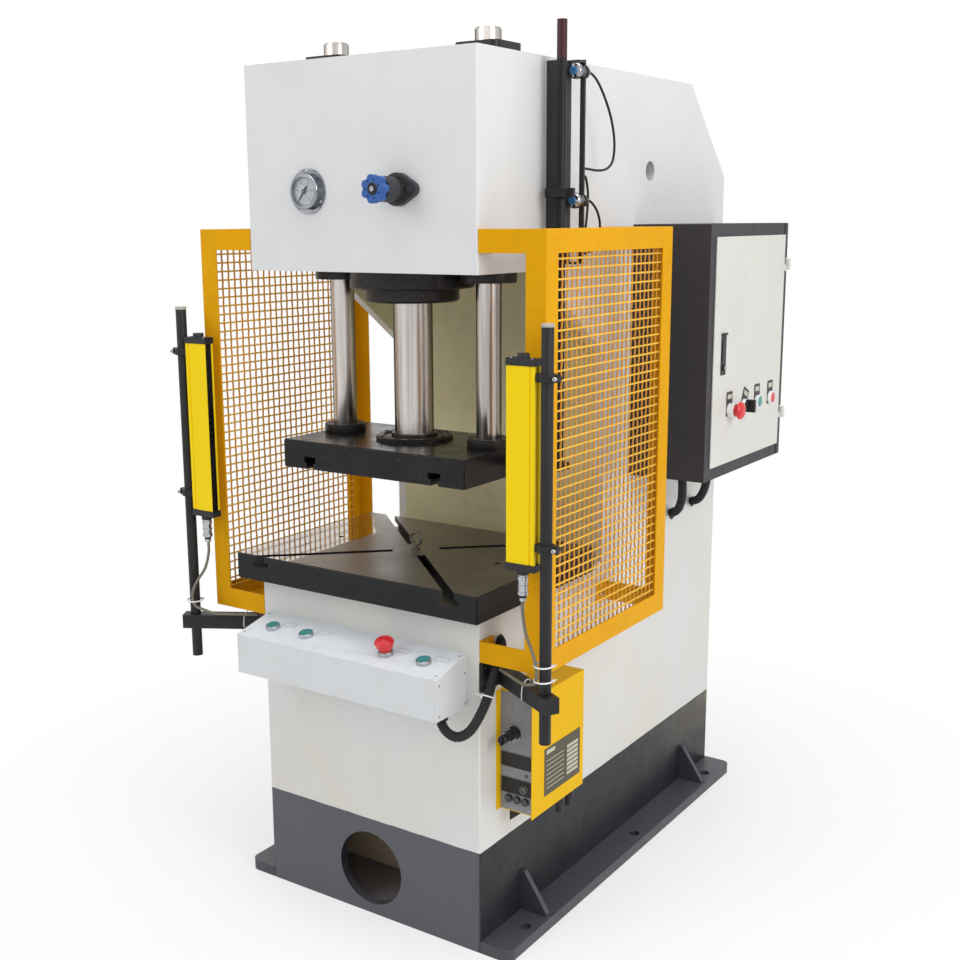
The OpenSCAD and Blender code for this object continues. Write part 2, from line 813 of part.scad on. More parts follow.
module lifting_eye() {
    color("gray") {
        translate([0, ram_y, table_top_z + 8 + eye_d / 2]) rotate([90, 0, 0])
            rotate_extrude($fn = 64) translate([(eye_d - eye_t) / 2, 0]) circle(d = eye_t, $fn = 32);
        pin_z(0, ram_y, 8 - 2 * loose, table_top_z - plug_t + 10, table_top_z + 12);
        pin_z(0, ram_y, 18, table_top_z, table_top_z + 4);
    }
}

// ---- Cylinder and guides in the head ----

module cylinder_barrel() {
    color("black") translate([0, ram_y, 0]) rotate_extrude($fn = 128)
        polygon([[bore_d / 2, flange_low_z], [flange_d / 2 - 3, flange_low_z],
            [flange_d / 2, flange_low_z + 3], [flange_d / 2, head_bottom_z],
            [barrel_d / 2, head_bottom_z], [barrel_d / 2, barrel_top_z + cap_h],
            [0, barrel_top_z + cap_h], [0, barrel_top_z], [bore_d / 2, barrel_top_z]]);
}

module gland() {
    color("black") translate([0, ram_y, 0]) rotate_extrude($fn = 128)
        polygon([[ram_d / 2 + run_gap, gland_low_z], [gland_d / 2 - 4, gland_low_z],
            [gland_d / 2, gland_low_z + 4], [gland_d / 2, flange_low_z],
            [bore_d / 2 - loose, flange_low_z], [bore_d / 2 - loose, flange_low_z + spigot_h],
            [ram_d / 2 + run_gap, flange_low_z + spigot_h]]);
}

module guide_bushes() {
    color("black") both_sides() translate([guide_x, ram_y, 0]) difference() {
        union() {
            translate([0, 0, bush_low_z]) cylinder(d = bush_flange_d, h = bush_flange_h, $fn = 96);
            translate([0, 0, bush_low_z]) cylinder(d = bush_d,
                h = head_top_z + bush_top_t - bush_low_z, $fn = 96);
            translate([0, 0, head_top_z]) linear_extrude(bush_top_t)
                round_rect(bush_top_w, bush_top_w, 14);
        }
        translate([0, 0, bush_low_z - eps])
            cylinder(d = guide_d + 2 * run_gap, h = head_top_z + bush_top_t - bush_low_z + 2 * eps,
                $fn = 96);
    }
}

// ---- Slide ----

module slide_plate() {
    color("dimgray") difference() {
        translate([0, ram_y - slide_ahead, slide_low_z]) edged_plate(slide_w, slide_d, slide_t, 2);
        for (sx = [-1, 1]) translate([sx * slide_slot_x, ram_y - slide_d, slide_low_z])
            rotate([0, 0, 90]) mirror([0, 0, 1]) tee_slot(2 * slide_d);
        both_sides() pin_z(guide_x, ram_y, guide_d + 2 * run_gap, rod_low_z, slide_top_z + eps);
        pin_z(0, ram_y, ram_d + 2 * run_gap, rod_low_z, slide_top_z + eps);
    }
}

module piston_rod() {
    color("silver") translate([0, ram_y, 0]) rotate_extrude($fn = 128)
        polygon([[0, rod_low_z], [ram_d / 2, rod_low_z], [ram_d / 2, piston_rest_z],
            [bore_d / 2 - run_gap, piston_rest_z], [bore_d / 2 - run_gap, piston_rest_z + piston_h],
            [0, piston_rest_z + piston_h]]);
}

module ram_flange() {
    color("black") translate([0, ram_y, slide_top_z]) rotate_extrude($fn = 128)
        polygon([[ram_d / 2 + run_gap, 0], [ram_flange_d / 2, 0],
            [ram_flange_d / 2, ram_flange_t - 3], [ram_flange_d / 2 - 4, ram_flange_t],
            [ram_flange_d / 2 - 14, ram_flange_t], [ram_flange_d / 2 - 18, ram_flange_t - 3],
            [ram_d / 2 + 8, ram_flange_t - 3], [ram_d / 2 + 7, ram_flange_t + ram_ring_h],
            [ram_d / 2 + run_gap, ram_flange_t + ram_ring_h]]);
}

module guide_rods() {
    color("silver") both_sides() translate([guide_x, ram_y, rod_low_z]) {
        cylinder(d = guide_d, h = guide_top_z - rod_low_z - 3, $fn = 96);
        translate([0, 0, guide_top_z - rod_low_z - 3])
            cylinder(d = guide_d - 6, h = 3, $fn = 96);
    }
}

module rod_collars() {
    color("black") both_sides() translate([guide_x, ram_y, slide_top_z]) difference() {
        rotate_extrude($fn = 96) polygon([[guide_d / 2 + run_gap, 0], [collar_d / 2, 0],
            [collar_d / 2, collar_h - 2], [collar_d / 2 - 2, collar_h],
            [guide_d / 2 + run_gap, collar_h]]);
        translate([0, -1, -eps]) cube([collar_d, 2, collar_h + 2 * eps]);
    }
}

// ---- Trip gear ----

module trip_rod() {
    arm_z0 = slide_low_z + 18;
    color("#3a2a28") {
        pin_z(trip_x, trip_y, trip_d, arm_z0, trip_top_z);
        span([slide_w / 2, trip_y - 20, arm_z0], [trip_x + trip_d / 2 + 4, trip_y + 20, arm_z0 + 14]);
    }
}

module trip_dog() {
    bar_x = side_x + dog_gap;
    block = trip_d + 12;
    color("black") difference() {
        union() {
            span([bar_x, trip_y - 4, dog_z], [bar_x + dog_l, trip_y + 4, dog_z + dog_h]);
            span([trip_x - block / 2, trip_y - block / 2, dog_z],
                [trip_x + block / 2, trip_y + trip_d / 2 + 3, dog_z + dog_h]);
        }
        pin_z(trip_x, trip_y, trip_d + 2 * run_gap, dog_z - eps, dog_z + dog_h + eps);
    }
}

module sensor_column() {
    y1 = column_y + column_w;
    t = column_t;
    out = side_x + column_d;
    strip_x = sensor_x - strip_w / 2;
    color("black") difference() {
        union() {
            difference() {
                span([side_x, column_y, column_low_z], [out, y1, column_top_z]);
                span([side_x + t, column_y + t, column_low_z - eps],
                    [out - t, y1 - t, column_top_z + eps]);
            }
            for (z = [column_low_z, column_top_z]) {
                span([side_x, column_y, z], [out, y1, z + t]);
                span([out - t, y1 - 12, z], [strip_x + strip_w, strip_y + strip_t, z + t]);
            }
            span([strip_x, strip_y, column_low_z], [strip_x + strip_w, strip_y + strip_t,
                column_top_z + 6]);
            for (z = [sensor_low_z, sensor_high_z])
                pin_y(sensor_x, z, sensor_body_d + 7, strip_y, strip_y + strip_t);
        }
        for (z = [sensor_low_z, sensor_high_z])
            pin_y(sensor_x, z, sensor_body_d + 2 * run_gap, strip_y - eps, strip_y + strip_t + eps);
    }
}

module proximity_sensors() {
    nut_d = sensor_body_d + 6;
    face_l = 8;
    head_l = 10;
    nut_l = 5;
    color("silver") for (z = [sensor_low_z, sensor_high_z]) {
        pin_y(sensor_x, z, sensor_face_d, nose_y, nose_y + face_l);
        pin_y(sensor_x, z, sensor_d, nose_y + face_l - 1, nose_y + face_l + head_l);
        pin_y(sensor_x, z, sensor_body_d, nose_y + face_l + head_l - 1, nose_y + sensor_l);
        pin_y(sensor_x, z, nut_d, strip_y - nut_l, strip_y);
        pin_y(sensor_x, z, nut_d, strip_y + strip_t, strip_y + strip_t + nut_l);
        pin_y(sensor_x, z, sensor_body_d - 5, nose_y + sensor_l - 1, nose_y + sensor_l + 12);
    }
}

// ---- Gauge and relief valve ----

module gauge_case() {
    r = gauge_d / 2;
    color("silver") difference() {
        union() {
            pin_y(gauge_x, instrument_z, gauge_flange_d, front - 3, front);
            pin_y(gauge_x, instrument_z, gauge_d, case_front + 2, front + gauge_back);
            pin_y(gauge_x, instrument_z, gauge_d - 3, case_front, front);
        }
        pin_y(gauge_x, instrument_z, dial_d, case_front - eps, dial_y);
    }
    color("silver") pin_y(gauge_x, instrument_z, 4, dial_y - 4, dial_y + eps);
}

module gauge_pointer() {
    color("black") translate([gauge_x, dial_y - 3.4, instrument_z]) rotate([0, pointer_rest, 0])
        rotate([90, 0, 0]) difference() {
            linear_extrude(1) {
                circle(d = 9, $fn = 48);
                polygon([[-1.4, 4], [1.4, 4], [1.4, -8], [0.5, 8 - dial_d / 2], [-0.5, 8 - dial_d / 2],
                    [-1.4, -8]]);
                polygon([[-2.2, 0], [2.2, 0], [1.6, 13], [-1.6, 13]]);
            }
            translate([0, 0, -eps]) cylinder(d = 4 + 4 * run_gap, h = 1 + 2 * eps, $fn = 48);
        }
}

module valve_body() {
    r = valve_flange_h / 2;
    ear = 14;
    color("black") {
        translate([valve_x, front, instrument_z]) rotate([90, 0, 0]) {
            linear_extrude(valve_flange_t) difference() {
                hull() {
                    circle(r = r, $fn = 64);
                    for (s = [-1, 1]) translate([s * (valve_flange_l / 2 - ear), 0])
                        circle(r = ear, $fn = 48);
                }
                circle(d = 4, $fn = 24);
            }
        }
        pin_y(valve_x, instrument_z, valve_d, valve_face, front);
        pin_y(valve_x, instrument_z, valve_d - 10 - 2 * loose, front - eps, front + head_front_t + 12);
        pin_y(valve_x, instrument_z, valve_d - 14, valve_face - 3, valve_face + eps);
        pin_y(valve_x, instrument_z, 10, valve_face - wheel_t + 4, valve_face + eps);
        both = valve_flange_l / 2 - ear;
        for (s = [-1, 1])
            pin_y(valve_x + s * both, instrument_z, 11, front - valve_flange_t - 5, front - valve_flange_t + eps);
    }
}

module valve_handwheel() {
    rim = wheel_d / 2;
    lobe = rim * 0.3;
    color("royalblue") translate([valve_x, valve_face - 3 - loose, instrument_z]) rotate([90, 0, 0])
        difference() {
            linear_extrude(wheel_t) difference() {
                union() {
                    circle(r = rim - lobe * 0.55, $fn = 96);
                    for (k = [0:wheel_lobes - 1]) rotate(360 * k / wheel_lobes)
                        translate([rim - lobe, 0]) circle(r = lobe, $fn = 48);
                }
                for (k = [0:wheel_lobes - 1]) rotate(360 * (k + 0.5) / wheel_lobes)
                    translate([rim * 0.62, 0]) circle(d = 3.5, $fn = 24);
            }
            translate([0, 0, -eps]) cylinder(d = 10 + 2 * run_gap, h = wheel_t - 6 + eps, $fn = 64);
            translate([0, 0, wheel_t - 2]) cylinder(d = 22, h = 2 + eps, $fn = 64);
        }
}

// ---- Operators, in a frame whose z points out of the panel ----

module bezel() {
    difference() {
        union() {
            cylinder(d = bezel_d, h = bezel_h - 1.5, $fn = 64);
            cylinder(d = bezel_d - 3, h = bezel_h, $fn = 64);
            translate([0, 0, -shank_l]) cylinder(d = shank_d, h = shank_l + 1, $fn = 64);
        }
        translate([0, 0, bezel_h - button_travel - 2])
            cylinder(d = button_d + 2 * loose, h = button_travel + 2 + eps, $fn = 64);
        translate([0, 0, -shank_l - eps]) cylinder(d = 8, h = shank_l + bezel_h, $fn = 48);
    }
}

module push_button() {
    translate([0, 0, bezel_h - 2 + loose]) cylinder(d = button_d, h = 2, $fn = 64);
    translate([0, 0, -shank_l / 2]) cylinder(d = 8 - 2 * run_gap, h = shank_l / 2 + bezel_h - 1, $fn = 48);
}

module mushroom() {
    r = mushroom_d / 2;
    rotate_extrude($fn = 96) polygon([[0, bezel_h + button_travel], [12, bezel_h + button_travel],
        [13, bezel_h + mushroom_h * 0.45], [r - 1, bezel_h + mushroom_h * 0.6],
        [r, bezel_h + mushroom_h * 0.66], [r - 0.6, bezel_h + mushroom_h * 0.74],
        [r * 0.8, bezel_h + mushroom_h * 0.9], [r * 0.45, bezel_h + mushroom_h], [0, bezel_h + mushroom_h]]);
    translate([0, 0, -shank_l / 2])
        cylinder(d = 8 - 2 * run_gap, h = shank_l / 2 + bezel_h + button_travel + 1, $fn = 48);
}

// ---- Two-hand control box ----

module on_box(x) {
    translate([box_x + x, front, box_top_z]) rotate([box_tilt, 0, 0]) translate([0, button_y, 0])
        children();
}

module box_outline(inset) {
    offset_y = inset / cos(box_tilt);
    polygon([[front - inset, box_low_z + inset], [front - inset, box_top_z - offset_y],
        [box_front + inset, box_top_z - box_drop - offset_y], [box_front + inset, box_low_z + inset]]);
}

module control_box() {
    color("gainsboro") difference() {
        along_x(box_x - box_w / 2 + box_t, box_x + box_w / 2 - box_t) difference() {
            box_outline(0);
            box_outline(box_t);
        }
        for (x = [-button_outer, -button_inner, button_inner, button_outer])
            on_box(x) translate([0, 0, -box_t - 3])
                cylinder(d = shank_d + 2 * loose, h = box_t + 6, $fn = 64);
        pin_z(226, -600, conduit_d + 2, box_low_z - eps, box_low_z + box_t + eps);
    }
}

module control_box_ends() {
    color("gainsboro") for (s = [-1, 1]) translate([box_x, 0, 0]) mirror([s < 0 ? 1 : 0, 0, 0]) {
        along_x(box_w / 2 - box_t, box_w / 2) box_outline(0);
        along_x(box_w / 2 - box_t - box_lip, box_w / 2 - box_t) difference() {
            box_outline(box_t + loose);
            box_outline(2 * box_t + loose);
        }
    }
}

module box_bezels() {
    color("silver") for (x = [-button_outer, -button_inner, button_inner, button_outer])
        on_box(x) bezel();
}

module button_left() {
    color("seagreen") on_box(-button_outer) push_button();
}

module button_middle() {
    color("seagreen") on_box(-button_inner) push_button();
}

module button_right() {
    color("seagreen") on_box(button_outer) push_button();
}

module stop_mushroom() {
    color("red") on_box(button_inner) mushroom();
}

// ---- Electrical cabinet ----

module cabinet_shell() {
    x1 = cab_face;
    y1 = cab_y + cab_w;
    z1 = cab_z + cab_h;
    color("#2b2b2f") difference() {
        span([cab_x, cab_y, cab_z], [x1, y1, z1]);
        span([cab_x + cab_t, cab_y + cab_t, cab_z + cab_t], [x1 - cab_t, y1 - cab_t, z1 - cab_t]);
        span([x1 - cab_t - eps, open_y0, open_z0], [x1 + eps, open_y1, open_z1]);
        for (route = [cabinet_hose_front, cabinet_hose_rear])
            pin_z(route[0].x, route[0].y, conduit_d + 4, cab_z - eps, cab_z + cab_t + eps);
    }
}

module on_door(k) {
    translate([door_face, operator_ys[k], operator_z]) rotate([0, 90, 0]) children();
}

module cabinet_door() {
    rim = 4;
    edge_x = door_x - door_edge;
    color("whitesmoke") difference() {
        union() {
            span([door_x, door_y0, door_z0], [door_face, door_y1, door_z1]);
            difference() {
                span([edge_x, open_y0 + rim, open_z0 + rim], [door_x + eps, open_y1 - 2 * rim, open_z1 - rim]);
                span([edge_x - eps, open_y0 + rim + 2, open_z0 + rim + 2],
                    [door_x + 2 * eps, open_y1 - 2 * rim - 2, open_z1 - rim - 2]);
            }
            for (z = hinge_zs) {
                span([door_x + 1, door_y1 - 8, z], [door_face, hinge_y, z + hinge_h / 2 - loose]);
                pin_z(hinge_x, hinge_y, knuckle_d, z, z + hinge_h / 2 - loose);
            }
        }
        for (k = [0:3]) on_door(k) translate([0, 0, -door_t - eps])
            cylinder(d = shank_d + 2 * loose, h = door_t + 2 * eps, $fn = 64);
        for (z = hinge_zs)
            pin_z(hinge_x, hinge_y, 5 + 2 * run_gap, z - eps, z + hinge_h / 2);
        span([door_x - eps, latch_y - latch_w / 2 + 3, latch_z + 3],
            [door_face + eps, latch_y + latch_w / 2 - 3, latch_z + latch_h - 3]);
    }
}

module cabinet_hinges() {
    y1 = cab_y + cab_w;
    color("whitesmoke") for (z = hinge_zs) {
        difference() {
            union() {
                pin_z(hinge_x, hinge_y, knuckle_d, z + hinge_h / 2, z + hinge_h);
                span([cab_face - 24, y1, z + hinge_h / 2], [hinge_x, y1 + 3, z + hinge_h]);
            }
            translate([0, 0, 0]) pin_z(hinge_x, hinge_y, 5, z + hinge_h / 2 - eps, z + hinge_h - 2);
        }
        pin_z(hinge_x, hinge_y, 5, z, z + hinge_h - 2);
    }
}

module door_latch() {
    color("#303030") {
        span([door_face, latch_y - latch_w / 2, latch_z], [door_face + 2, latch_y + latch_w / 2,
            latch_z + latch_h]);
        span([door_x - 8, latch_y - latch_w / 2 + 3 + loose, latch_z + 6],
            [door_face + 0.5, latch_y + latch_w / 2 - 3 - loose, latch_z + latch_h - 3 - loose]);
        pin_x(latch_y, latch_z + 16, 13, door_face, door_face + 6);
        pin_y(pivot_x, latch_z + latch_h, 2 * (pivot_x - door_face - loose),
            latch_y - latch_w / 2, latch_y + latch_w / 2);
    }
}

module door_bezels() {
    color("silver") for (k = [0:3]) on_door(k) bezel();
}

module door_mushroom() {
    color("red") on_door(0) mushroom();
}

module door_selector() {
    top = bezel_h + loose;
    color("black") on_door(1) {
        translate([0, 0, -shank_l / 2])
            cylinder(d = 8 - 2 * run_gap, h = shank_l / 2 + top + 3, $fn = 48);
        translate([0, 0, top]) cylinder(d = bezel_d - 5, h = 6, $fn = 64);
        translate([-bezel_d / 2 + 1, -4.5, top]) cube([bezel_d - 2, 9, 20]);
    }
}

module door_green_button() {
    color("seagreen") on_door(2) push_button();
}

module door_red_button() {
    color("red") on_door(3) push_button();
}

module switchgear() {
    y0 = cab_y + 40;
    y1 = cab_y + cab_w - 40;
    color("wheat") {
        span([plate_x, y0, cab_z + 40], [plate_x + 3, y1, cab_z + cab_h - 40]);
        for (y = [y0 + 20, y1 - 20], z = [cab_z + 60, cab_z + cab_h - 60])
            pin_x(y, z, 14, cab_x + cab_t, plate_x + eps);
        for (z = [cab_z + 130, cab_z + 280, cab_z + 420]) {
            span([plate_x + 3, y0 + 15, z - 18], [plate_x + 11, y1 - 15, z + 18]);
            for (k = [0:4])
                span([plate_x + 11, y0 + 24 + k * 62, z - 40], [plate_x + 81, y0 + 74 + k * 62, z + 40]);
        }
    }
}

// ---- Safety controller ----

module controller_cover() {
    t = ctrl_t;
    x1 = ctrl_x + ctrl_w;
    y1 = ctrl_y + ctrl_d;
    z1 = ctrl_z + ctrl_h;
    color("gold") difference() {
        span([ctrl_x, ctrl_y, ctrl_z], [x1, y1, z1]);
        span([ctrl_x + t, ctrl_y - eps, ctrl_z + t], [x1 - t, y1 - t, z1 - t]);
        span([ctrl_x + t, ctrl_y - eps, ctrl_z - eps], [x1 - t, ctrl_face, ctrl_z + t + eps]);
        span([ctrl_x + t, ctrl_y - eps, z1 - t - eps], [x1 - t, ctrl_face, z1 + eps]);
        for (y = outlet_ys)
            pin_z(outlet_x, y, outlet_d + 2 * loose, ctrl_z - eps, ctrl_z + t + eps);
    }
}

module controller_panel() {
    t = ctrl_t + loose;
    x0 = ctrl_x + t;
    x1 = ctrl_x + ctrl_w - t;
    z0 = ctrl_z + ctrl_t;
    z1 = ctrl_z + ctrl_h - ctrl_t;
    color("slategray") difference() {
        union() {
            span([x0, ctrl_face, z0], [x1, ctrl_face + 4, z1]);
            span([x0, ctrl_face, z0], [x1, ctrl_face + 30, z0 + 3]);
            span([x0, ctrl_face, z1 - 3], [x1, ctrl_face + 30, z1]);
            for (x = socket_xs)
                pin_y(x, socket_z, socket_d, ctrl_face - 5, ctrl_face + 1);
            pin_y(ctrl_mid_x + 18, ctrl_z + 54, socket_d, ctrl_face - 7, ctrl_face + 1);
            span([x0 + 3, ctrl_face - 1.5, ctrl_z + 93], [x1 - 3, ctrl_face + 1, ctrl_z + 122]);
            span([x0 + 3, ctrl_face - 1.5, ctrl_z + 38], [x1 - 3, ctrl_face + 1, ctrl_z + 70]);
        }
        for (x = socket_xs)
            pin_y(x, socket_z, socket_d - 6, ctrl_face - 6, ctrl_face - 1);
        pin_y(key_x, key_z, 8, ctrl_face - eps, ctrl_face + 4 + eps);
    }
    // Cable outlets below, and the small stiffening gusset in front of them
    color("black") {
        for (y = outlet_ys) {
            pin_z(outlet_x, y, outlet_d, ctrl_z - 40, ctrl_z + 12);
            pin_z(outlet_x, y, outlet_d + 6, ctrl_z - 22, ctrl_z);
            pin_z(outlet_x, y, outlet_d + 6, ctrl_z + ctrl_t, ctrl_z + 8);
        }
        translate([ctrl_x + 22, ctrl_face + 6, ctrl_z]) rotate([90, 0, 0]) linear_extrude(4)
            polygon([[0, 0], [0, -23], [27, 0]]);
    }
}

module key_switch() {
    color("black") {
        pin_y(key_x, key_z, 28, ctrl_face - 9, ctrl_face - loose);
        pin_y(key_x, key_z, 22, ctrl_face - 26, ctrl_face - 9);
        pin_y(key_x, key_z, 18, ctrl_face - 44, ctrl_face - 26);
        pin_y(key_x, key_z, 8 - 2 * run_gap, ctrl_face - 1, ctrl_face + 10);
        span([key_x - 2.5, ctrl_face - 48, key_z - 9], [key_x + 2.5, ctrl_face - 43, key_z + 9]);
    }
}

// ---- Side guards ----

module guard_frame() {
    w = angle_w;
    t = angle_t;
    x = guard_x;
    color("orange") {
        for (z = [guard_z, guard_z1 - w])
            span([x - t, guard_y0, z], [x, guard_y1, z + w]);
        for (z = [guard_z, guard_z1 - t])
            span([x - w, guard_y0, z], [x, guard_y1, z + t]);
        for (y = [guard_y0, guard_y1 - w])
            span([x - t, y, guard_z], [x, y + w, guard_z1]);
        for (y = [guard_y0, guard_y1 - t]) {
            span([x - w, y, guard_z], [x, y + t, guard_z1]);
            for (z = [guard_z, guard_z1 - w])
                span([side_x, y, z], [x, y + t, z + w]);
        }
        for (z = [guard_z, guard_z1 - w]) {
            span([side_x, guard_y0, z], [side_x + 5, guard_y0 + guard_foot, z + w]);
            span([side_x, guard_y1 - guard_foot, z], [side_x + 5, guard_y1, z + w]);
        }
    }
}

module guard_frames() {
    both_sides() guard_frame();
}

module guard_mesh() {
    x1 = guard_x - angle_t;
    lap = angle_w - 10;
    y0 = guard_y0 + lap;
    y1 = guard_y1 - lap;
    z0 = guard_z + lap;
    z1 = guard_z1 - lap;
    step_y = (guard_d - 2 * angle_w) / mesh_columns;
    step_z = (guard_h - 2 * angle_w) / mesh_rows;
    color("orange") {
        for (k = [0:mesh_columns])
            translate([x1 - wire_d, guard_y0 + angle_w + k * step_y - wire_d / 2, z0])
                cube([wire_d, wire_d, z1 - z0]);
        for (k = [0:mesh_rows])
            translate([x1 - 1.6 * wire_d, y0, guard_z + angle_w + k * step_z - wire_d / 2])
                cube([wire_d, y1 - y0, wire_d]);
    }
}

module guard_meshes() {
    both_sides() guard_mesh();
}

// ---- Light curtains ----

module curtain_outline() {
    // The housing's section, with a groove down its outer side and the window's rebate inside
    difference() {
        translate([-curtain_w, -curtain_d / 2]) square([curtain_w, curtain_d]);
        translate([-curtain_w - eps, -curtain_d / 2 + 5]) square([2, curtain_d - 10]);
        translate([-11, -curtain_d / 2 - eps]) square([3, 2 + eps]);
        translate([-2, -4]) square([2 + eps, 8]);
        translate([-9, -7]) square([7 + eps, 14]);
    }
}

module light_curtains() {
    color("yellow") both_sides() translate([curtain_x, pole_y, curtain_z])
        linear_extrude(curtain_l) curtain_outline();
}

module curtain_caps() {
    knob_h = 8;
    nut_l = 38;
    boot_l = 11;
    low = -curtain_cap_h - knob_h;
    color("black") both_sides() translate([curtain_x, pole_y, curtain_z]) {
        for (z = [-curtain_cap_h, curtain_l])
            translate([-curtain_w - 1, -curtain_d / 2 - 1, z])
                cube([curtain_w + 2, curtain_d + 2, curtain_cap_h]);
        translate([-curtain_w / 2, 0, 0]) {
            translate([0, 0, curtain_l + curtain_cap_h]) cylinder(d = curtain_d, h = knob_h, $fn = 64);
            translate([0, 0, low]) cylinder(d = curtain_d, h = knob_h, $fn = 64);
            translate([0, 0, low - nut_l]) cylinder(d = lead_plug_d, h = nut_l, $fn = 64);
            translate([0, 0, low - nut_l - boot_l]) cylinder(d = lead_plug_d - 5, h = boot_l, $fn = 64);
        }
    }
}

module curtain_poles() {
    color("#303030") both_sides() difference() {
        pin_z(pole_x, pole_y, pole_d, pole_z, pole_z + pole_l);
        pin_z(pole_x, pole_y, pole_d - 6, pole_z - eps, pole_z + pole_l - 4);
    }
}

module curtain_arms() {
    color("#303030") both_sides() {
        difference() {
            translate([side_x, root_y, arm_z]) rotate([0, 0, arm_turn]) difference() {
                translate([-arm_w, -arm_w / 2, -arm_w / 2])
                    cube([arm_run + arm_w + arm_past, arm_w, arm_w]);
                translate([-arm_w - eps, -arm_w / 2 + arm_t, -arm_w / 2 + arm_t])
                    cube([arm_run + arm_w + arm_past - 2, arm_w - 2 * arm_t, arm_w - 2 * arm_t]);
            }
            span([-far, -far, 0], [side_x + bracket_t, far, far]);
            pin_z(pole_x, pole_y, pole_d + 2 * loose, arm_z - arm_w, arm_z + arm_w);
        }
        span([side_x, front, arm_z - bracket_h / 2],
            [side_x + bracket_t, front + bracket_l, arm_z + bracket_h / 2]);
    }
}

module pole_clamps() {
    outer = pole_x + pole_d / 2 + 9;
    color("#202020") both_sides() for (z = clamp_zs) difference() {
        union() {
            span([curtain_x, pole_y - 9, z - clamp_h / 2], [outer - 12, pole_y + 9, z + clamp_h / 2]);
            pin_z(pole_x, pole_y, pole_d + 10, z - clamp_h / 2, z + clamp_h / 2);
            span([pole_x, pole_y - 5, z - clamp_h / 2], [outer + 4, pole_y + 5, z + clamp_h / 2]);
            pin_y(outer, z, 9, pole_y - 9, pole_y + 9);
        }
        pin_z(pole_x, pole_y, pole_d + 2 * run_gap, z - clamp_h, z + clamp_h);
        span([pole_x + pole_d / 2 - 2, pole_y - 1, z - clamp_h],
            [outer + 5, pole_y + 1, z + clamp_h]);
    }
}

// ---- Leads and conduits ----

module signal_leads() {
    color("dimgray") {
        both_sides() tube(curtain_lead, lead_d, 8);
        for (route = [top_sensor_lead, low_sensor_lead, strip_lead])
            tube(route, lead_d, 8);
    }
}

module flexible_conduits() {
    color("black") difference() {
        for (route = [box_conduit, cabinet_hose_front, cabinet_hose_rear])
            tube(route, conduit_d, 10);
        span([0, -far, 0], [side_x + loose / 2, far, far]);
    }
}

// ---- Power unit ----

module oil_tank() {
    t = tank_t;
    color("steelblue") difference() {
        span([-inner_x, tank_y0, tank_z], [inner_x, tank_y1, tank_top_z]);
        span([-inner_x + t, tank_y0 + t, tank_z + t], [inner_x - t, tank_y1 - t, tank_top_z - t]);
        pin_z(0, motor_y, pump_d + 2 * loose, tank_top_z - t - eps, tank_top_z + eps);
    }
}

module motor_pump() {
    color("slategray") {
        pin_z(0, motor_y, motor_d, tank_top_z + 18, tank_top_z + 18 + motor_h);
        pin_z(0, motor_y, motor_d + 40, tank_top_z, tank_top_z + 18);
        pin_z(0, motor_y, pump_d, tank_top_z - pump_l, tank_top_z + eps);
        for (k = [0:17]) rotate_about_motor(20 * k)
            translate([motor_d / 2 - 1, -2, tank_top_z + 50]) cube([9, 4, motor_h - 70]);
    }
}

module rotate_about_motor(a) {
    translate([0, motor_y, 0]) rotate([0, 0, a]) children();
}

side_plates();
head_front_plate();
head_top_plate();
head_bottom_plate();
throat_plate();
bed_plate();
lower_front_plate();
rear_plate();
rear_cover();
foot_plates();
table();
centre_plug();
lifting_eye();
cylinder_barrel();  // cylinder
gland();
guide_bushes();
slide_plate();
piston_rod();
ram_flange();
guide_rods();
rod_collars();
trip_rod();
trip_dog();
sensor_column();
proximity_sensors();
gauge_case();
gauge_pointer();
valve_body();
valve_handwheel();
control_box();
control_box_ends();
box_bezels();
button_left();
button_middle();
button_right();
stop_mushroom();
cabinet_shell();
cabinet_door();
cabinet_hinges();
door_latch();
door_bezels();
door_mushroom();
door_selector();
door_green_button();
door_red_button();
switchgear();
controller_cover();
controller_panel();
key_switch();
guard_frames();
guard_meshes();
light_curtains();
curtain_caps();
curtain_poles();
curtain_arms();
pole_clamps();
signal_leads();
flexible_conduits();
oil_tank();
motor_pump();
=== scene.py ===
"""Looks, camera and light of a single column hydraulic press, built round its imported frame."""
import math

import bpy
from mathutils import Matrix, Vector


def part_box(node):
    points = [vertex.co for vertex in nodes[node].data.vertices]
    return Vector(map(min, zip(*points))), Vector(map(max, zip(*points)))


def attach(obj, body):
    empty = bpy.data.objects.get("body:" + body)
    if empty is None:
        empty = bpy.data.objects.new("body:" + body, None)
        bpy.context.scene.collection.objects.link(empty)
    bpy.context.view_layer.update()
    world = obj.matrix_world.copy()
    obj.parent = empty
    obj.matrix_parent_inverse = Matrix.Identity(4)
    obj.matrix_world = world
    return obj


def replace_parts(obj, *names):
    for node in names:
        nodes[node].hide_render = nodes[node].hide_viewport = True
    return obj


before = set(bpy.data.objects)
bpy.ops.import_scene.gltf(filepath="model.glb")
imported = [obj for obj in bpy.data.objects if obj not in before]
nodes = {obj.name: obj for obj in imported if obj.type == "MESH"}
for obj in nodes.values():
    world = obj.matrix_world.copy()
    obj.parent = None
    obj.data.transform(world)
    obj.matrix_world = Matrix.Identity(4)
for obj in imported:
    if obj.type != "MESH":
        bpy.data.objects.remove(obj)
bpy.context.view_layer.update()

MM = 0.001
METRE = 1
FRAME_BODY = "press_frame"
PAINT_LINE = 214 * MM
UP = Vector((0, 0, 1))
FRONT = Vector((0, -1, 0))
RIGHT = Vector((1, 0, 0))
WHITE = (1, 1, 1, 1)


# ---- Geometry helpers ----

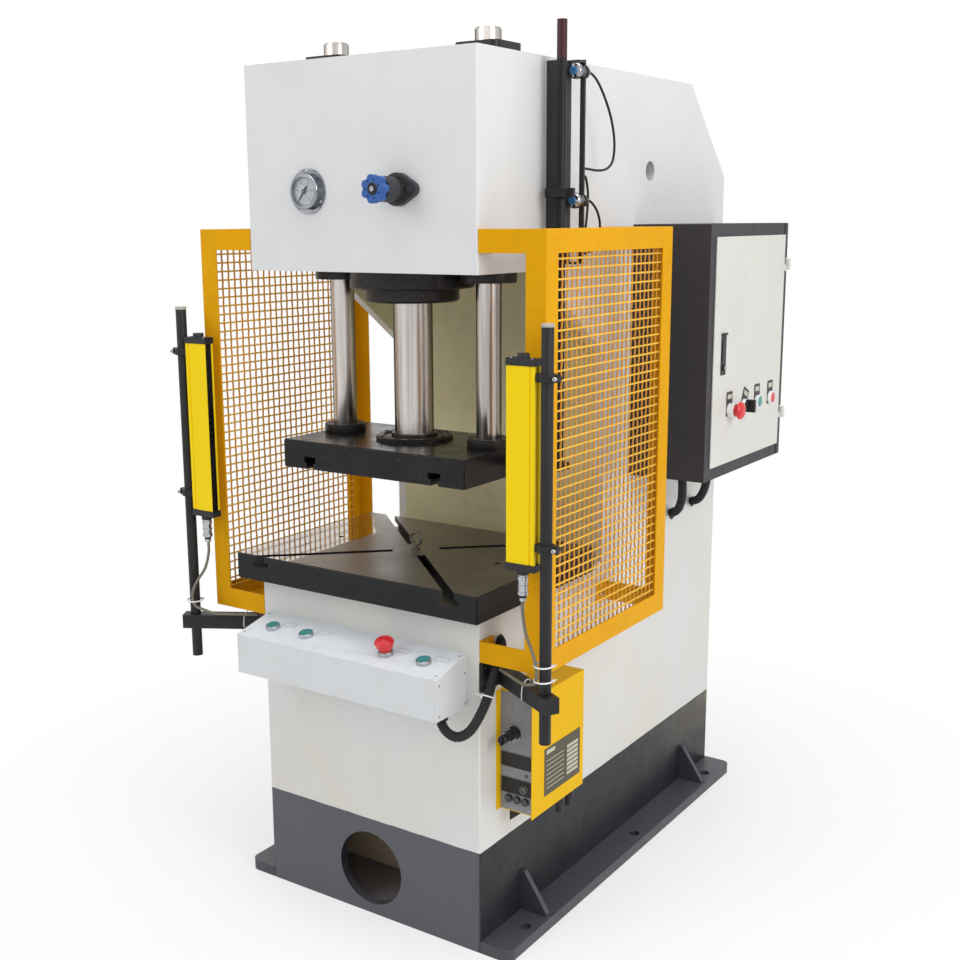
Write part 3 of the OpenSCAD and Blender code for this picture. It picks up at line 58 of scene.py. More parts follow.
class Shape:
    """Vertices and faces that several calls add to, made into one piece at the end.

    Its sizes are in millimetres, or in metres with a unit of 1."""

    def __init__(self, unit=MM):
        self.unit = unit
        self.verts = []
        self.faces = []

    def add(self, verts, faces):
        """Adds vertices, and faces that count from the first of them."""
        start = len(self.verts)
        self.verts += [Vector(v) for v in verts]
        self.faces += [[start + i for i in face] for face in faces]

    def lathe(self, profile, place, steps=48, closed=False):
        """Turns (radius, height) points about the z axis of the matrix place."""
        rings = []
        verts = []
        for radius, height in profile:
            if radius < 1e-7 / self.unit:
                rings.append([len(verts)] * steps)
                verts.append(place @ Vector((0, 0, height)))
                continue
            rings.append(list(range(len(verts), len(verts) + steps)))
            for k in range(steps):
                a = 2 * math.pi * k / steps
                verts.append(place @ Vector((radius * math.cos(a), radius * math.sin(a), height)))
        if closed:
            rings.append(rings[0])
        faces = []
        for low, high in zip(rings, rings[1:]):
            for k in range(steps):
                n = (k + 1) % steps
                face = [low[k], low[n], high[n], high[k]]
                face = [v for i, v in enumerate(face) if v not in face[:i]]
                if len(face) > 2:
                    faces.append(face)
        self.add(verts, faces)
        return self

    def ring(self, inner, outer, low, high, place, steps=48):
        """A square-edged ring between two radii and two heights."""
        profile = [(inner, low), (outer, low), (outer, high), (inner, high)]
        return self.lathe(profile, place, steps, closed=True)

    def prism(self, outline, low, high, place=Matrix()):
        """An outline in x and y, extruded along z from low to high."""
        n = len(outline)
        verts = [place @ Vector((x, y, z)) for z in (low, high) for x, y in outline]
        faces = [list(range(n - 1, -1, -1)), list(range(n, 2 * n))]
        faces += [[k, (k + 1) % n, n + (k + 1) % n, n + k] for k in range(n)]
        self.add(verts, faces)
        return self

    def block(self, low, high):
        """A box between two corners."""
        (x0, y0, z0), (x1, y1, z1) = low, high
        return self.prism([(x0, y0), (x1, y0), (x1, y1), (x0, y1)], z0, z1)

    def sweep(self, path, radii, sides=8):
        """A round tube along a path, with one radius for all points or one for each."""
        if not isinstance(radii, list):
            radii = [radii] * len(path)
        path = [Vector(p) for p in path]
        last = len(path) - 1
        side = None
        verts = []
        for i, (point, radius) in enumerate(zip(path, radii)):
            ahead = (path[min(i + 1, last)] - path[max(i - 1, 0)]).normalized()
            if side is None:
                side = ahead.cross(UP if abs(ahead.z) < 0.9 else RIGHT).normalized()
            side = (side - ahead * side.dot(ahead)).normalized()
            other = ahead.cross(side)
            for k in range(sides):
                a = 2 * math.pi * k / sides
                verts.append(point + radius * (math.cos(a) * side + math.sin(a) * other))
        faces = [
            [i * sides + k, i * sides + (k + 1) % sides,
             (i + 1) * sides + (k + 1) % sides, (i + 1) * sides + k]
            for i in range(last) for k in range(sides)
        ]
        faces.append(list(range(sides - 1, -1, -1)))
        faces.append([last * sides + k for k in range(sides)])
        self.add(verts, faces)
        return self

    def piece(self, name, material, body=FRAME_BODY, smooth=None, bevel=0.0):
        """The object made of all that was added. smooth is the greatest angle shaded smooth."""
        mesh = bpy.data.meshes.new(name)
        mesh.from_pydata([v * self.unit for v in self.verts], [], self.faces)
        mesh.validate()
        mesh.materials.append(MATERIALS[material])
        obj = new_object(name, mesh)
        if smooth:
            shade_smooth(obj, smooth)
        if bevel:
            soften(obj, bevel)
        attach(obj, body)
        return obj


def new_object(name, data):
    """An object in the scene."""
    obj = bpy.data.objects.new(name, data)
    bpy.context.scene.collection.objects.link(obj)
    return obj


def shade_smooth(obj, degrees):
    """Smooth shading that keeps edges sharper than an angle."""
    obj.data.shade_smooth()
    obj.data.set_sharp_from_angle(angle=math.radians(degrees))


def soften(obj, width):
    """A small rounding on a piece's sharp edges, its width in millimetres."""
    bevel = obj.modifiers.new("edges", "BEVEL")
    bevel.width = width * MM
    bevel.segments = 2
    bevel.limit_method = "ANGLE"
    bevel.angle_limit = math.radians(35)


def facing(at, out, up=UP):
    """A matrix at a point, with its z axis pointing out of the surface there."""
    z = Vector(out).normalized()
    x = Vector(up).cross(z)
    x = x.normalized() if x.length > 1e-5 else RIGHT
    place = Matrix((x, z.cross(x), z)).transposed().to_4x4()
    place.translation = at
    return place


def box(name):
    """A node's lowest and highest corners at rest, in millimetres."""
    return [Vector(corner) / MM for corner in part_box(name)]


def middle(name):
    """The middle of a node's box at rest, in millimetres."""
    return sum(box(name), Vector()) / 2


def spline(points, step):
    """Points about one step apart on a smooth curve through the given ones."""
    pts = [Vector(p) for p in points]
    pts = [2 * pts[0] - pts[1]] + pts + [2 * pts[-1] - pts[-2]]
    out = []
    for p0, p1, p2, p3 in zip(pts, pts[1:], pts[2:], pts[3:]):
        count = max(2, math.ceil((p2 - p1).length / step))
        for k in range(count):
            t = k / count
            out.append(0.5 * (2 * p1 + (p2 - p0) * t + (2 * p0 - 5 * p1 + 4 * p2 - p3) * t ** 2
                              + (3 * p1 - p0 - 3 * p2 + p3) * t ** 3))
    out.append(pts[-2])
    return out


def millimetres(points):
    """Points given in millimetres, in metres."""
    return [Vector(p) * MM for p in points]


def mirrored(points):
    """The same points on the other side of the press."""
    return [Vector((-p.x, p.y, p.z)) for p in points]


def round_outline(w, h, r, steps=6):
    """A centred rectangle with rounded corners."""
    out = []
    for k, (sx, sy) in enumerate([(1, 1), (-1, 1), (-1, -1), (1, -1)]):
        for i in range(steps + 1):
            a = math.pi / 2 * (k + i / steps)
            out.append((sx * (w / 2 - r) + r * math.cos(a), sy * (h / 2 - r) + r * math.sin(a)))
    return out


# ---- Material helpers ----

def rgb(r, g, b):
    """A colour given as 0 to 255 screen values, as linear light."""
    def linear(v):
        """One part as linear light."""
        v /= 255
        return v / 12.92 if v <= 0.04045 else ((v + 0.055) / 1.055) ** 2.4
    return (linear(r), linear(g), linear(b), 1.0)


def scaled(color, factor):
    """A colour made darker or lighter."""
    return tuple(min(1.0, c * factor) for c in color[:3]) + (1.0,)


def fill(tree, target, value):
    """Sets a node's input, or links another node's output to it."""
    if isinstance(value, bpy.types.NodeSocket):
        tree.links.new(value, target)
    else:
        target.default_value = value


def new_node(tree, kind, links=None, **settings):
    """A new node with its settings, and its inputs linked or set."""
    node = tree.nodes.new(kind)
    for key, value in settings.items():
        setattr(node, key, value)
    for key, value in (links or {}).items():
        fill(tree, node.inputs[key], value)
    return node


MATERIALS = {}


class Finish:
    """A material's nodes, with short ways to add the usual ones. MATERIALS keeps each by name."""

    def __init__(self, name, color, roughness=0.5, metallic=0.0, coat=0.0, specular=0.5):
        self.material = MATERIALS[name] = bpy.data.materials.new(name)
        self.material.use_nodes = True
        self.material.diffuse_color = color
        tree = self.material.node_tree
        self.tree = tree
        self.bsdf = tree.nodes["Principled BSDF"]
        self.set("Base Color", color)
        self.set("Roughness", roughness)
        self.set("Metallic", metallic)
        self.set("Specular IOR Level", specular)
        if coat:
            self.set("Coat Weight", coat)
            self.set("Coat Roughness", 0.12)
        self.place = tree.nodes.new("ShaderNodeTexCoord").outputs["Object"]
        self.normal = None

    def set(self, socket, value):
        """Sets the shader's own socket, or links a node's output to it."""
        fill(self.tree, self.bsdf.inputs[socket], value)

    def node(self, kind, links=None, **settings):
        """A new node in the material."""
        return new_node(self.tree, kind, links, **settings)

    def stretched(self, scale):
        """Object coordinates scaled along each axis."""
        return self.node("ShaderNodeMapping", {"Vector": self.place, "Scale": scale}).outputs[0]

    def noise(self, scale, detail, stretch=None):
        """Cloudy noise over the object, stretched along an axis if asked for."""
        place = self.stretched(stretch) if stretch else self.place
        links = {"Vector": place, "Scale": scale, "Detail": detail, "Roughness": 0.55}
        return self.node("ShaderNodeTexNoise", links).outputs["Fac"]

    def fit(self, value, low, high, to_low=0.0, to_high=1.0):
        """A value mapped from one range to another, and clamped."""
        links = {"Value": value, "From Min": low, "From Max": high,
                 "To Min": to_low, "To Max": to_high}
        return self.node("ShaderNodeMapRange", links).outputs[0]

    def math(self, operation, a, b):
        """One step of arithmetic on two values."""
        return self.node("ShaderNodeMath", {0: a, 1: b}, operation=operation).outputs[0]

    def times(self, a, b):
        """Two values multiplied."""
        return self.math("MULTIPLY", a, b)

    def mix(self, factor, a, b):
        """One colour turning into another as the factor goes from 0 to 1."""
        node = self.node("ShaderNodeMix", {0: factor, 6: a, 7: b}, data_type="RGBA")
        return node.outputs[2]

    def axis(self, name, vector=None):
        """One part of a vector, which is the object's own place in metres if none is given."""
        return self.node("ShaderNodeSeparateXYZ", {0: vector or self.place}).outputs[name]

    def looks(self, name):
        """1 on faces that look along an axis, 0 on those beside it, -1 on those that look back."""
        return self.axis(name, self.node("ShaderNodeNewGeometry").outputs["Normal"])

    def edges(self, radius):
        """1 on a piece's sharp edges and 0 on its faces, from a rounded normal."""
        rounded = self.node("ShaderNodeBevel", {"Radius": radius}, samples=6).outputs[0]
        true = self.node("ShaderNodeNewGeometry").outputs["Normal"]
        dot = self.node("ShaderNodeVectorMath", {0: rounded, 1: true}, operation="DOT_PRODUCT")
        return self.fit(dot.outputs["Value"], 0.98, 0.75)

    def bump(self, height, strength, distance):
        """Relief in metres. Each call adds to the one before."""
        links = {"Height": height, "Strength": strength, "Distance": distance}
        if self.normal:
            links["Normal"] = self.normal
        self.normal = self.node("ShaderNodeBump", links).outputs[0]
        self.set("Normal", self.normal)


def paint(name, color, roughness=0.38, cloud=0.05, peel=0.12, wear=None, dust=None, shine=0.5,
          top=None):
    """Sprayed paint: clouds of tone, orange peel, and chips, dust or a lighter top tone, painted
    light, if asked.
    """
    f = Finish(name, color, roughness, specular=shine)
    clouds = f.noise(6, 4)
    tone = f.mix(f.fit(clouds, 0.3, 0.7), scaled(color, 1 - cloud), scaled(color, 1 + cloud))
    # Painted light: faces that look up turn to the top colour, lighter as if lit from above.
    if top:
        tone = f.mix(f.fit(f.looks("Z"), 0.5, 0.9), tone, top)
    if dust:
        grime = f.times(f.fit(f.noise(28, 6), 0.5, 0.75), dust[1])
        tone = f.mix(grime, tone, dust[0])
    if wear:
        patchy = f.fit(f.noise(90, 5), 0.42, 0.62)
        rubbed = f.times(f.edges(wear[1]), patchy)
        tone = f.mix(rubbed, tone, wear[0])
    f.set("Base Color", tone)
    f.set("Roughness", f.fit(f.noise(40, 3), 0.3, 0.7, roughness - 0.05, roughness + 0.07))
    f.bump(f.noise(420, 2), peel, 0.0004)
    f.bump(f.noise(9, 2), 0.1, 0.002)


def two_tone_paint(name, upper, lower):
    """The frame's paint: light above the paint line, slate below it, a wavering edge between, with
    painted shade on faces that look into the throat and on the slate's sides.
    """
    f = Finish(name, upper, 0.34)
    height = f.axis("Z")
    waver = f.fit(f.noise(30, 3), 0.3, 0.7, -0.0006, 0.0006)
    below = f.fit(f.math("ADD", height, waver), PAINT_LINE + 0.0006, PAINT_LINE - 0.0006)
    warm = f.mix(f.fit(height, 0.3, 1.3), rgb(218, 215, 204), upper)
    clouds = f.fit(f.noise(3.5, 4), 0.3, 0.7)
    light = f.mix(clouds, warm, scaled(upper, 0.95))
    film = f.times(f.fit(f.noise(9, 6, stretch=(1, 1, 0.6)), 0.5, 0.8), 0.14)
    light = f.mix(film, light, rgb(200, 193, 176))
    across = f.looks("X")
    # Painted shade: faces that look into the throat turn olive cream, as they look in shade under
    # warm bounced light.
    inner_face_shade = f.fit(f.times(across, f.axis("X")), -0.1, -0.2)
    light = f.mix(inner_face_shade, light, rgb(222, 217, 182))
    # Painted shade: below the paint line the front turns lighter and the sides much darker, the
    # left side half as much, for how the light falls.
    beside = f.math("MAXIMUM", across, f.times(across, -0.5))
    lower = f.mix(beside, scaled(lower, 1.15), scaled(rgb(64, 68, 74), 0.3))
    clouds = f.fit(f.noise(11, 5), 0.35, 0.7, 0.0, 0.12)
    dark = f.mix(clouds, lower, rgb(96, 96, 100))
    behind = f.times(f.fit(f.axis("Y"), 0.1, 0.5), f.fit(height, 0.1, 0.2))
    dust = f.times(behind, f.fit(f.noise(5, 4), 0.35, 0.6, 0.25, 0.9))
    dark = f.mix(dust, dark, rgb(128, 118, 100))
    scuffs = f.times(f.fit(f.noise(55, 6, stretch=(1, 1, 3)), 0.6, 0.72), 0.25)
    dark = f.mix(scuffs, dark, rgb(104, 106, 112))
    f.set("Base Color", f.mix(below, light, dark))
    side_below = f.times(below, beside)
    f.set("Specular IOR Level", f.fit(side_below, 0, 1, 0.5, 0.18))
    gloss = f.fit(f.noise(35, 3), 0.3, 0.7, 0.3, 0.42)
    f.set("Roughness", gloss)
    f.bump(f.noise(380, 2), 0.1, 0.0004)
    f.bump(f.noise(5, 2), 0.16, 0.003)


def blackened(name, color, edge, roughness=0.36, streak=(1, 1, 1), shine=0.3):
    """Oiled black steel: brownish clouds, fine scratches and bright rubbed edges."""
    f = Finish(name, color, roughness, metallic=0.3, specular=shine)
    clouds = f.fit(f.noise(12, 6), 0.3, 0.7)
    tone = f.mix(clouds, color, scaled(color, 1.9))
    scratch = f.fit(f.noise(160, 4, stretch=streak), 0.66, 0.72)
    tone = f.mix(f.times(scratch, 0.25), tone, edge)
    patchy = f.fit(f.noise(160, 4), 0.4, 0.7, 0.0, 0.6)
    tone = f.mix(f.times(f.edges(0.0009), patchy), tone, edge)
    f.set("Base Color", tone)
    f.set("Roughness", f.fit(f.noise(25, 5), 0.3, 0.7, roughness - 0.08, roughness + 0.1))
    f.bump(f.noise(300, 4), 0.08, 0.0004)


def bright(name, color, roughness, depth=0.1, contrast=0.82, rim=WHITE, streak=(1, 1, 1)):
    """Bright metal, ground along one direction. rim is the tint of its glancing reflections."""
    f = Finish(name, color, roughness, metallic=1.0)
    f.set("Specular Tint", rim)
    lines = f.noise(60, 5, stretch=streak)
    f.set("Base Color", f.mix(f.fit(lines, 0.3, 0.7), scaled(color, contrast), color))
    f.set("Roughness", f.fit(lines, 0.3, 0.7, roughness * 0.75, roughness * 1.35))
    f.bump(lines, depth, 0.0002)


def plastic(name, color, roughness=0.35, grain=0.08, spread=0.06, coat=0.0, shine=0.4):
    """Moulded plastic: fine grain, a little handling dirt in its tone."""
    f = Finish(name, color, roughness, coat=coat, specular=shine)
    smudge = f.fit(f.noise(45, 5), 0.35, 0.7)
    f.set("Base Color", f.mix(smudge, scaled(color, 1 - spread), scaled(color, 1 + spread)))
    f.set("Roughness", f.fit(f.noise(90, 3), 0.3, 0.7, roughness - 0.06, roughness + 0.08))
    f.bump(f.noise(900, 2), grain, 0.0002)


def ground_table(name):
    """The table: an oily ground top, lighter towards its left and with a painted glare at its left
    rear that is also glossier, and blackened sides.
    """
    sides = rgb(26, 27, 28)
    top = rgb(98, 92, 84)
    f = Finish(name, sides, 0.4)
    on_top = f.fit(f.looks("Z"), 0.6, 0.9)
    grind = f.noise(70, 4, stretch=(1, 12, 1))
    patches = f.fit(f.noise(5, 5), 0.35, 0.68)
    face = f.mix(patches, top, scaled(top, 0.7))
    # Painted reflection: the top's colour grows lighter towards its left.
    face = f.mix(f.fit(f.axis("X"), 0.16, -0.3, 0.0, 0.95), face, scaled(top, 2.7))
    face = f.mix(f.times(f.fit(grind, 0.35, 0.75), 0.35), face, rgb(140, 132, 124))
    spots = f.fit(f.noise(38, 6), 0.62, 0.72)
    face = f.mix(f.times(spots, 0.4), face, rgb(66, 56, 48))
    flank = f.mix(f.fit(f.noise(20, 6), 0.35, 0.7), sides, scaled(sides, 1.5))
    tone = f.mix(on_top, flank, face)
    patchy = f.fit(f.noise(120, 5), 0.44, 0.64, 0.0, 0.5)
    tone = f.mix(f.times(f.edges(0.001), patchy), tone, rgb(120, 116, 110))
    # Painted reflection: a ragged patch at the left rear takes a paler colour, and is also more
    # metallic and glossier under a clearer coat.
    ragged = f.fit(f.noise(14, 3), 0.3, 0.7, -0.004, 0.004)
    left = f.fit(f.math("ADD", f.axis("X"), ragged), -0.158, -0.166)
    slant = f.math("ADD", f.times(f.axis("X"), 0.739), f.times(f.axis("Y"), 0.674))
    ahead = f.fit(f.math("ADD", slant, ragged), -0.316, -0.324)
    painted_glare_and_gloss = f.times(on_top, f.times(left, ahead))
    tone = f.mix(painted_glare_and_gloss, tone, rgb(186, 182, 176))
    f.set("Base Color", tone)
    f.set("Metallic", f.math("ADD", f.fit(on_top, 0, 1, 0.15, 0.6), f.times(painted_glare_and_gloss, 0.3)))
    f.set("Specular IOR Level", f.fit(on_top, 0, 1, 0.15, 0.4))
    film = f.fit(f.noise(9, 5), 0.3, 0.7)
    f.set("Roughness", f.math("SUBTRACT", f.fit(film, 0, 1, 0.32, 0.42),
                              f.times(painted_glare_and_gloss, 0.28)))
    f.set("Coat Weight", f.fit(painted_glare_and_gloss, 0, 1, 0.12, 1.0))
    f.set("Coat Roughness", f.fit(painted_glare_and_gloss, 0, 1, 0.22, 0.05))
    f.bump(grind, 0.03, 0.0002)


def split_finish(name, height, below, above, roughness=(0.3, 0.5), metallic=(1, 0), shine=0.4):
    """One node made of two stuffs: the first below a height in millimetres, the second above."""
    f = Finish(name, below, roughness[0], specular=shine)
    side = f.fit(f.axis("Z"), (height - 0.1) * MM, (height + 0.1) * MM)
    cloud = f.fit(f.noise(60, 4), 0.3, 0.7)
    low = f.mix(cloud, scaled(below, 0.85), below)
    high = f.mix(cloud, scaled(above, 0.85), above)
    f.set("Base Color", f.mix(side, low, high))
    f.set("Metallic", f.fit(side, 0, 1, metallic[0], metallic[1]))
    f.set("Roughness", f.fit(side, 0, 1, roughness[0], roughness[1]))
    f.bump(f.noise(500, 2), 0.06, 0.0002)


def glass(name, tint, roughness=0.03):
    """Thin clear glass with a faint film."""
    f = Finish(name, tint, roughness)
    f.set("Transmission Weight", 1.0)
    f.set("IOR", 1.46)
    f.set("Alpha", 0.35)
    f.set("Roughness", f.fit(f.noise(30, 3), 0.4, 0.8, roughness, roughness + 0.05))


# ---- Materials ----

two_tone_paint("body_paint", rgb(224, 226, 228), rgb(72, 75, 82))
# Painted light: the foot plates' up-facing faces take a lighter slate.
paint("slate_paint", rgb(62, 64, 70), 0.42, cloud=0.12, wear=(rgb(112, 114, 120), 0.002),
    top=rgb(78, 78, 85))
# Painted light: the box's up-facing faces take a lighter, bluer white.
paint("box_paint", rgb(214, 217, 220), 0.36, cloud=0.03, dust=(rgb(200, 198, 190), 0.25),
    top=rgb(234, 241, 247))
paint("guard_paint", rgb(226, 164, 12), 0.4, cloud=0.04, wear=(rgb(196, 128, 14), 0.0015),
    dust=(rgb(210, 146, 20), 0.35), shine=0.06)
paint("weave_paint", rgb(238, 188, 64), 0.4, cloud=0.12, peel=0.2, shine=0.25)
# Painted shade: a darker copy of the weave paint for the upright wires, which sit behind the level
# ones.
paint("upright_shaded_paint", rgb(210, 146, 50), 0.42, cloud=0.12, peel=0.2, shine=0.2)
paint("lemon_paint", rgb(246, 213, 18), 0.36, cloud=0.03, peel=0.05, shine=0.12)
paint("cover_paint", rgb(232, 184, 12), 0.38, cloud=0.02, dust=(rgb(222, 172, 14), 0.25),
    shine=0.06)
paint("cabinet_paint", rgb(60, 58, 62), 0.48, cloud=0.1, peel=0.35, shine=0.2)
paint("column_paint", rgb(60, 62, 65), 0.46, cloud=0.12, peel=0.3, shine=0.2)
# Painted shade: an olive cream copy of the body paint for the throat plate, as it looks in shade,
# with dust on it.
paint("throat_shaded_dusty_paint", rgb(221, 217, 178), 0.4, cloud=0.05, dust=(rgb(196, 190, 160), 0.4),
    shine=0.3)
paint("partition_paint", rgb(244, 222, 190), 0.6, cloud=0.1, shine=0.1)
# The grey of the sheet of painted shade inside the base.
paint("base_shade_paint", rgb(142, 136, 138), 0.6, cloud=0.1, shine=0.1)
paint("door_paint", rgb(214, 214, 208), 0.4, cloud=0.03, peel=0.3,
    dust=(rgb(206, 200, 184), 0.3))
paint("black_paint", rgb(42, 41, 42), 0.42, cloud=0.15, peel=0.25, wear=(rgb(84, 82, 80), 0.0012),
    shine=0.2)
paint("tank_paint", rgb(82, 96, 108), 0.42, cloud=0.08)
ground_table("ground_iron")
blackened("black_steel", rgb(30, 28, 28), rgb(150, 144, 136))
blackened("slide_steel", rgb(22, 21, 22), rgb(170, 164, 154), 0.24, (1, 10, 1))
bright("plain_steel", rgb(120, 116, 110), 0.42, 0.2)
bright("hard_chrome", rgb(226, 219, 214), 0.24, 0.04, contrast=0.5,
    rim=(0.06, 0.09, 0.06, 1), streak=(1, 1, 0.03))
bright("dull_nickel", rgb(112, 110, 106), 0.42)
bright("bezel_chrome", rgb(178, 180, 186), 0.14, 0.03, contrast=0.55,
    rim=(0.16, 0.18, 0.2, 1))
bright("nickel", rgb(190, 192, 196), 0.22)
plastic("black_plastic", rgb(28, 28, 30), 0.42, shine=0.3)
plastic("green_plastic", rgb(52, 140, 138), 0.32, coat=0.15)
plastic("red_plastic", rgb(214, 40, 48), 0.3, coat=0.2)
plastic("blue_plastic", rgb(34, 86, 160), 0.34, coat=0.15)
plastic("grey_plastic", rgb(176, 174, 168), 0.45)
plastic("white_plastic", rgb(236, 236, 236), 0.35)
plastic("black_rubber", rgb(30, 30, 32), 0.55, grain=0.2, shine=0.3)
plastic("grey_sheath", rgb(118, 112, 98), 0.5, grain=0.15)
plastic("window_black", rgb(16, 14, 14), 0.12, grain=0.0, shine=0.3)
plastic("dial_white", rgb(196, 204, 210), 0.55, grain=0.03, spread=0.02)
plastic("ink", rgb(30, 30, 34), 0.5, grain=0.0)
paint("plate_black", rgb(46, 44, 44), 0.42, cloud=0.1, peel=0.1, shine=0.25)
paint("plate_grey", rgb(84, 78, 62), 0.42, cloud=0.08, peel=0.1, shine=0.25)
paint("field_grey", rgb(194, 192, 174), 0.45, cloud=0.05, peel=0.1, shine=0.3)
paint("label_line", rgb(112, 124, 166), 0.5, cloud=0.05)
plastic("sensor_blue", rgb(52, 116, 164), 0.34)
bright("gland_nickel", rgb(186, 178, 156), 0.34)
glass("clear_glass", rgb(240, 244, 246))
split_finish("cap_finish", box("light_curtains")[0].z - 21, rgb(196, 198, 202), rgb(30, 30, 32))
split_finish("panel_finish", box("controller_cover")[0].z + 0.5, rgb(36, 36, 38),
    rgb(146, 147, 152), roughness=(0.4, 0.46), metallic=(0.2, 0))
split_finish("trip_finish", box("trip_rod")[1].z - 68, rgb(32, 31, 32), rgb(66, 36, 38),
    roughness=(0.4, 0.34), metallic=(0.3, 0.3), shine=0.25)


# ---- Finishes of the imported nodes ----

FINISHES = {
    "body_paint": "side_plates head_front_plate head_top_plate head_bottom_plate bed_plate "
                  "lower_front_plate rear_plate rear_cover",
    "throat_shaded_dusty_paint": "throat_plate",
    "slate_paint": "foot_plates",
    "ground_iron": "table centre_plug",
    "plain_steel": "lifting_eye",
    "black_steel": "cylinder gland guide_bushes ram_flange rod_collars",
    "slide_steel": "slide_plate",
    "hard_chrome": "piston_rod guide_rods",
    "black_paint": "trip_dog curtain_poles curtain_arms door_latch",
    "column_paint": "sensor_column valve_body",
    "bezel_chrome": "gauge_case",
    "nickel": "box_bezels",
    "white_plastic": "door_bezels",
    "ink": "gauge_pointer",
    "blue_plastic": "valve_handwheel",
    "box_paint": "control_box control_box_ends",
    "green_plastic": "button_left button_middle button_right door_green_button",
    "red_plastic": "stop_mushroom door_mushroom door_red_button",
    "cabinet_paint": "cabinet_shell",
    "door_paint": "cabinet_door cabinet_hinges",
    "black_plastic": "door_selector key_switch pole_clamps",
    "grey_plastic": "switchgear",
    "cover_paint": "controller_cover",
    "guard_paint": "guard_frames",
    "weave_paint": "guard_meshes",
    "lemon_paint": "light_curtains",
    "black_rubber": "flexible_conduits",
    "grey_sheath": "signal_leads",
    "tank_paint": "oil_tank motor_pump",
    "cap_finish": "curtain_caps",
    "panel_finish": "controller_panel",
    "trip_finish": "trip_rod",
}

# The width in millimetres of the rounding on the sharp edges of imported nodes.
EDGE_WIDTHS = {
    0.4: "box_bezels door_bezels sensor_column",
    0.6: "control_box_ends controller_cover button_left button_middle button_right "
         "door_green_button door_red_button rod_collars",
    0.8: "slide_plate guard_frames cabinet_shell trip_dog pole_clamps valve_body",
    1: "control_box cabinet_door light_curtains guide_bushes curtain_arms door_selector "
       "curtain_poles",
    1.5: "foot_plates curtain_caps valve_handwheel",
    2: "trip_rod",
    3: "guide_rods",
}

for finish, names in FINISHES.items():
    for name in names.split():
        slots = nodes[name].data.materials
        slots.clear()
        slots.append(MATERIALS[finish])

for width, names in EDGE_WIDTHS.items():
    for name in names.split():
        weld = nodes[name].modifiers.new("joined", "WELD")
        weld.merge_threshold = 0.01 * MM
        soften(nodes[name], width)


# ---- Camera, floor and light ----

def add_camera():
    """The camera stands in front and to the right, a little above the guards."""
    data = bpy.data.cameras.new("camera")
    data.lens = 47.97
    data.shift_x = 0.0202
    data.shift_y = 0.0026
    data.clip_end = 50
    cam = new_object("camera", data)
    cam.location = (1.5549, -2.4589, 1.4304)
    cam.rotation_euler = [math.radians(a) for a in (78.382, 0.37, 34.473)]
    bpy.context.scene.camera = cam


def add_area(name, at, target, size, power, color=(1, 1, 1)):
    """A rectangular lamp that points at a target."""
    data = bpy.data.lights.new(name, "AREA")
    data.shape = "RECTANGLE"
    data.size, data.size_y = size
    data.energy = power
    data.color = color
    lamp = new_object(name, data)
    lamp.location = at
    lamp.rotation_euler = (Vector(target) - Vector(at)).to_track_quat("-Z", "Y").to_euler()


def white_to_camera(tree, shader):
    """Shows plain white to the camera and in reflections, and the shader to other rays."""
    path = new_node(tree, "ShaderNodeLightPath").outputs
    white = new_node(tree, "ShaderNodeBackground", {"Color": WHITE}).outputs[0]
    seen = path["Is Camera Ray"]
    for ray in ("Is Glossy Ray", "Is Transmission Ray"):
        links = {0: seen, 1: path[ray]}
        seen = new_node(tree, "ShaderNodeMath", links, operation="MAXIMUM").outputs[0]
    return new_node(tree, "ShaderNodeMixShader", {0: seen, 1: shader, 2: white}).outputs[0]


def add_world():
    """A bright surround, seen as plain white."""
    world = bpy.data.worlds.new("world")
    bpy.context.scene.world = world
    world.use_nodes = True
    tree = world.node_tree
    sky = tree.nodes["Background"]
    fill(tree, sky.inputs["Color"], WHITE)
    fill(tree, sky.inputs["Strength"], 0.55)
    surface = tree.nodes["World Output"].inputs["Surface"]
    fill(tree, surface, white_to_camera(tree, sky.outputs[0]))


def add_floor():
    """A plain pale floor that keeps the press's shadow and turns white away from it."""
    reach = 12
    shape = Shape(METRE).block((-reach, -reach, -0.02), (reach, reach, -0.0005))
    f = Finish("floor_paint", (0.94, 0.94, 0.94, 1), 0.9, specular=0.1)
    tone = f.fit(f.noise(1.2, 2), 0.3, 0.7)
    f.set("Base Color", f.mix(tone, (0.93, 0.93, 0.93, 1), (0.95, 0.95, 0.95, 1)))
    flat = f.node("ShaderNodeMapping", {"Vector": f.place, "Scale": (1, 1, 0)}).outputs[0]
    away = f.node("ShaderNodeVectorMath", {0: flat}, operation="LENGTH").outputs["Value"]
    path = f.node("ShaderNodeLightPath")
    seen = f.math("MAXIMUM", path.outputs["Is Camera Ray"], path.outputs["Is Glossy Ray"])
    part = f.times(f.fit(away, 0.5, 1.5, 0.55, 1.0), seen)
    white = f.node("ShaderNodeEmission", {"Color": WHITE, "Strength": 1}).outputs[0]
    blend = f.node("ShaderNodeMixShader", {0: part, 1: f.bsdf.outputs[0], 2: white})
    fill(f.tree, f.tree.nodes["Material Output"].inputs["Surface"], blend.outputs[0])
    mesh = bpy.data.meshes.new("floor")
    mesh.from_pydata(shape.verts, [], shape.faces)
    mesh.materials.append(f.material)
    new_object("floor", mesh)


add_camera()
add_world()
add_floor()
add_area("key", (-2.2, -4.2, 3.4), (0, 0, 0.9), (2.4, 2.4), 42)
add_area("side", (4.2, -1.2, 2.6), (0, 0, 0.9), (2.0, 2.6), 74, (1.0, 0.99, 0.98))
add_area("top", (0.4, -0.4, 4.4), (0, 0, 1.0), (3.0, 3.0), 66)
bpy.context.scene.view_settings.view_transform = "Standard"


# ---- Leads and conduits ----

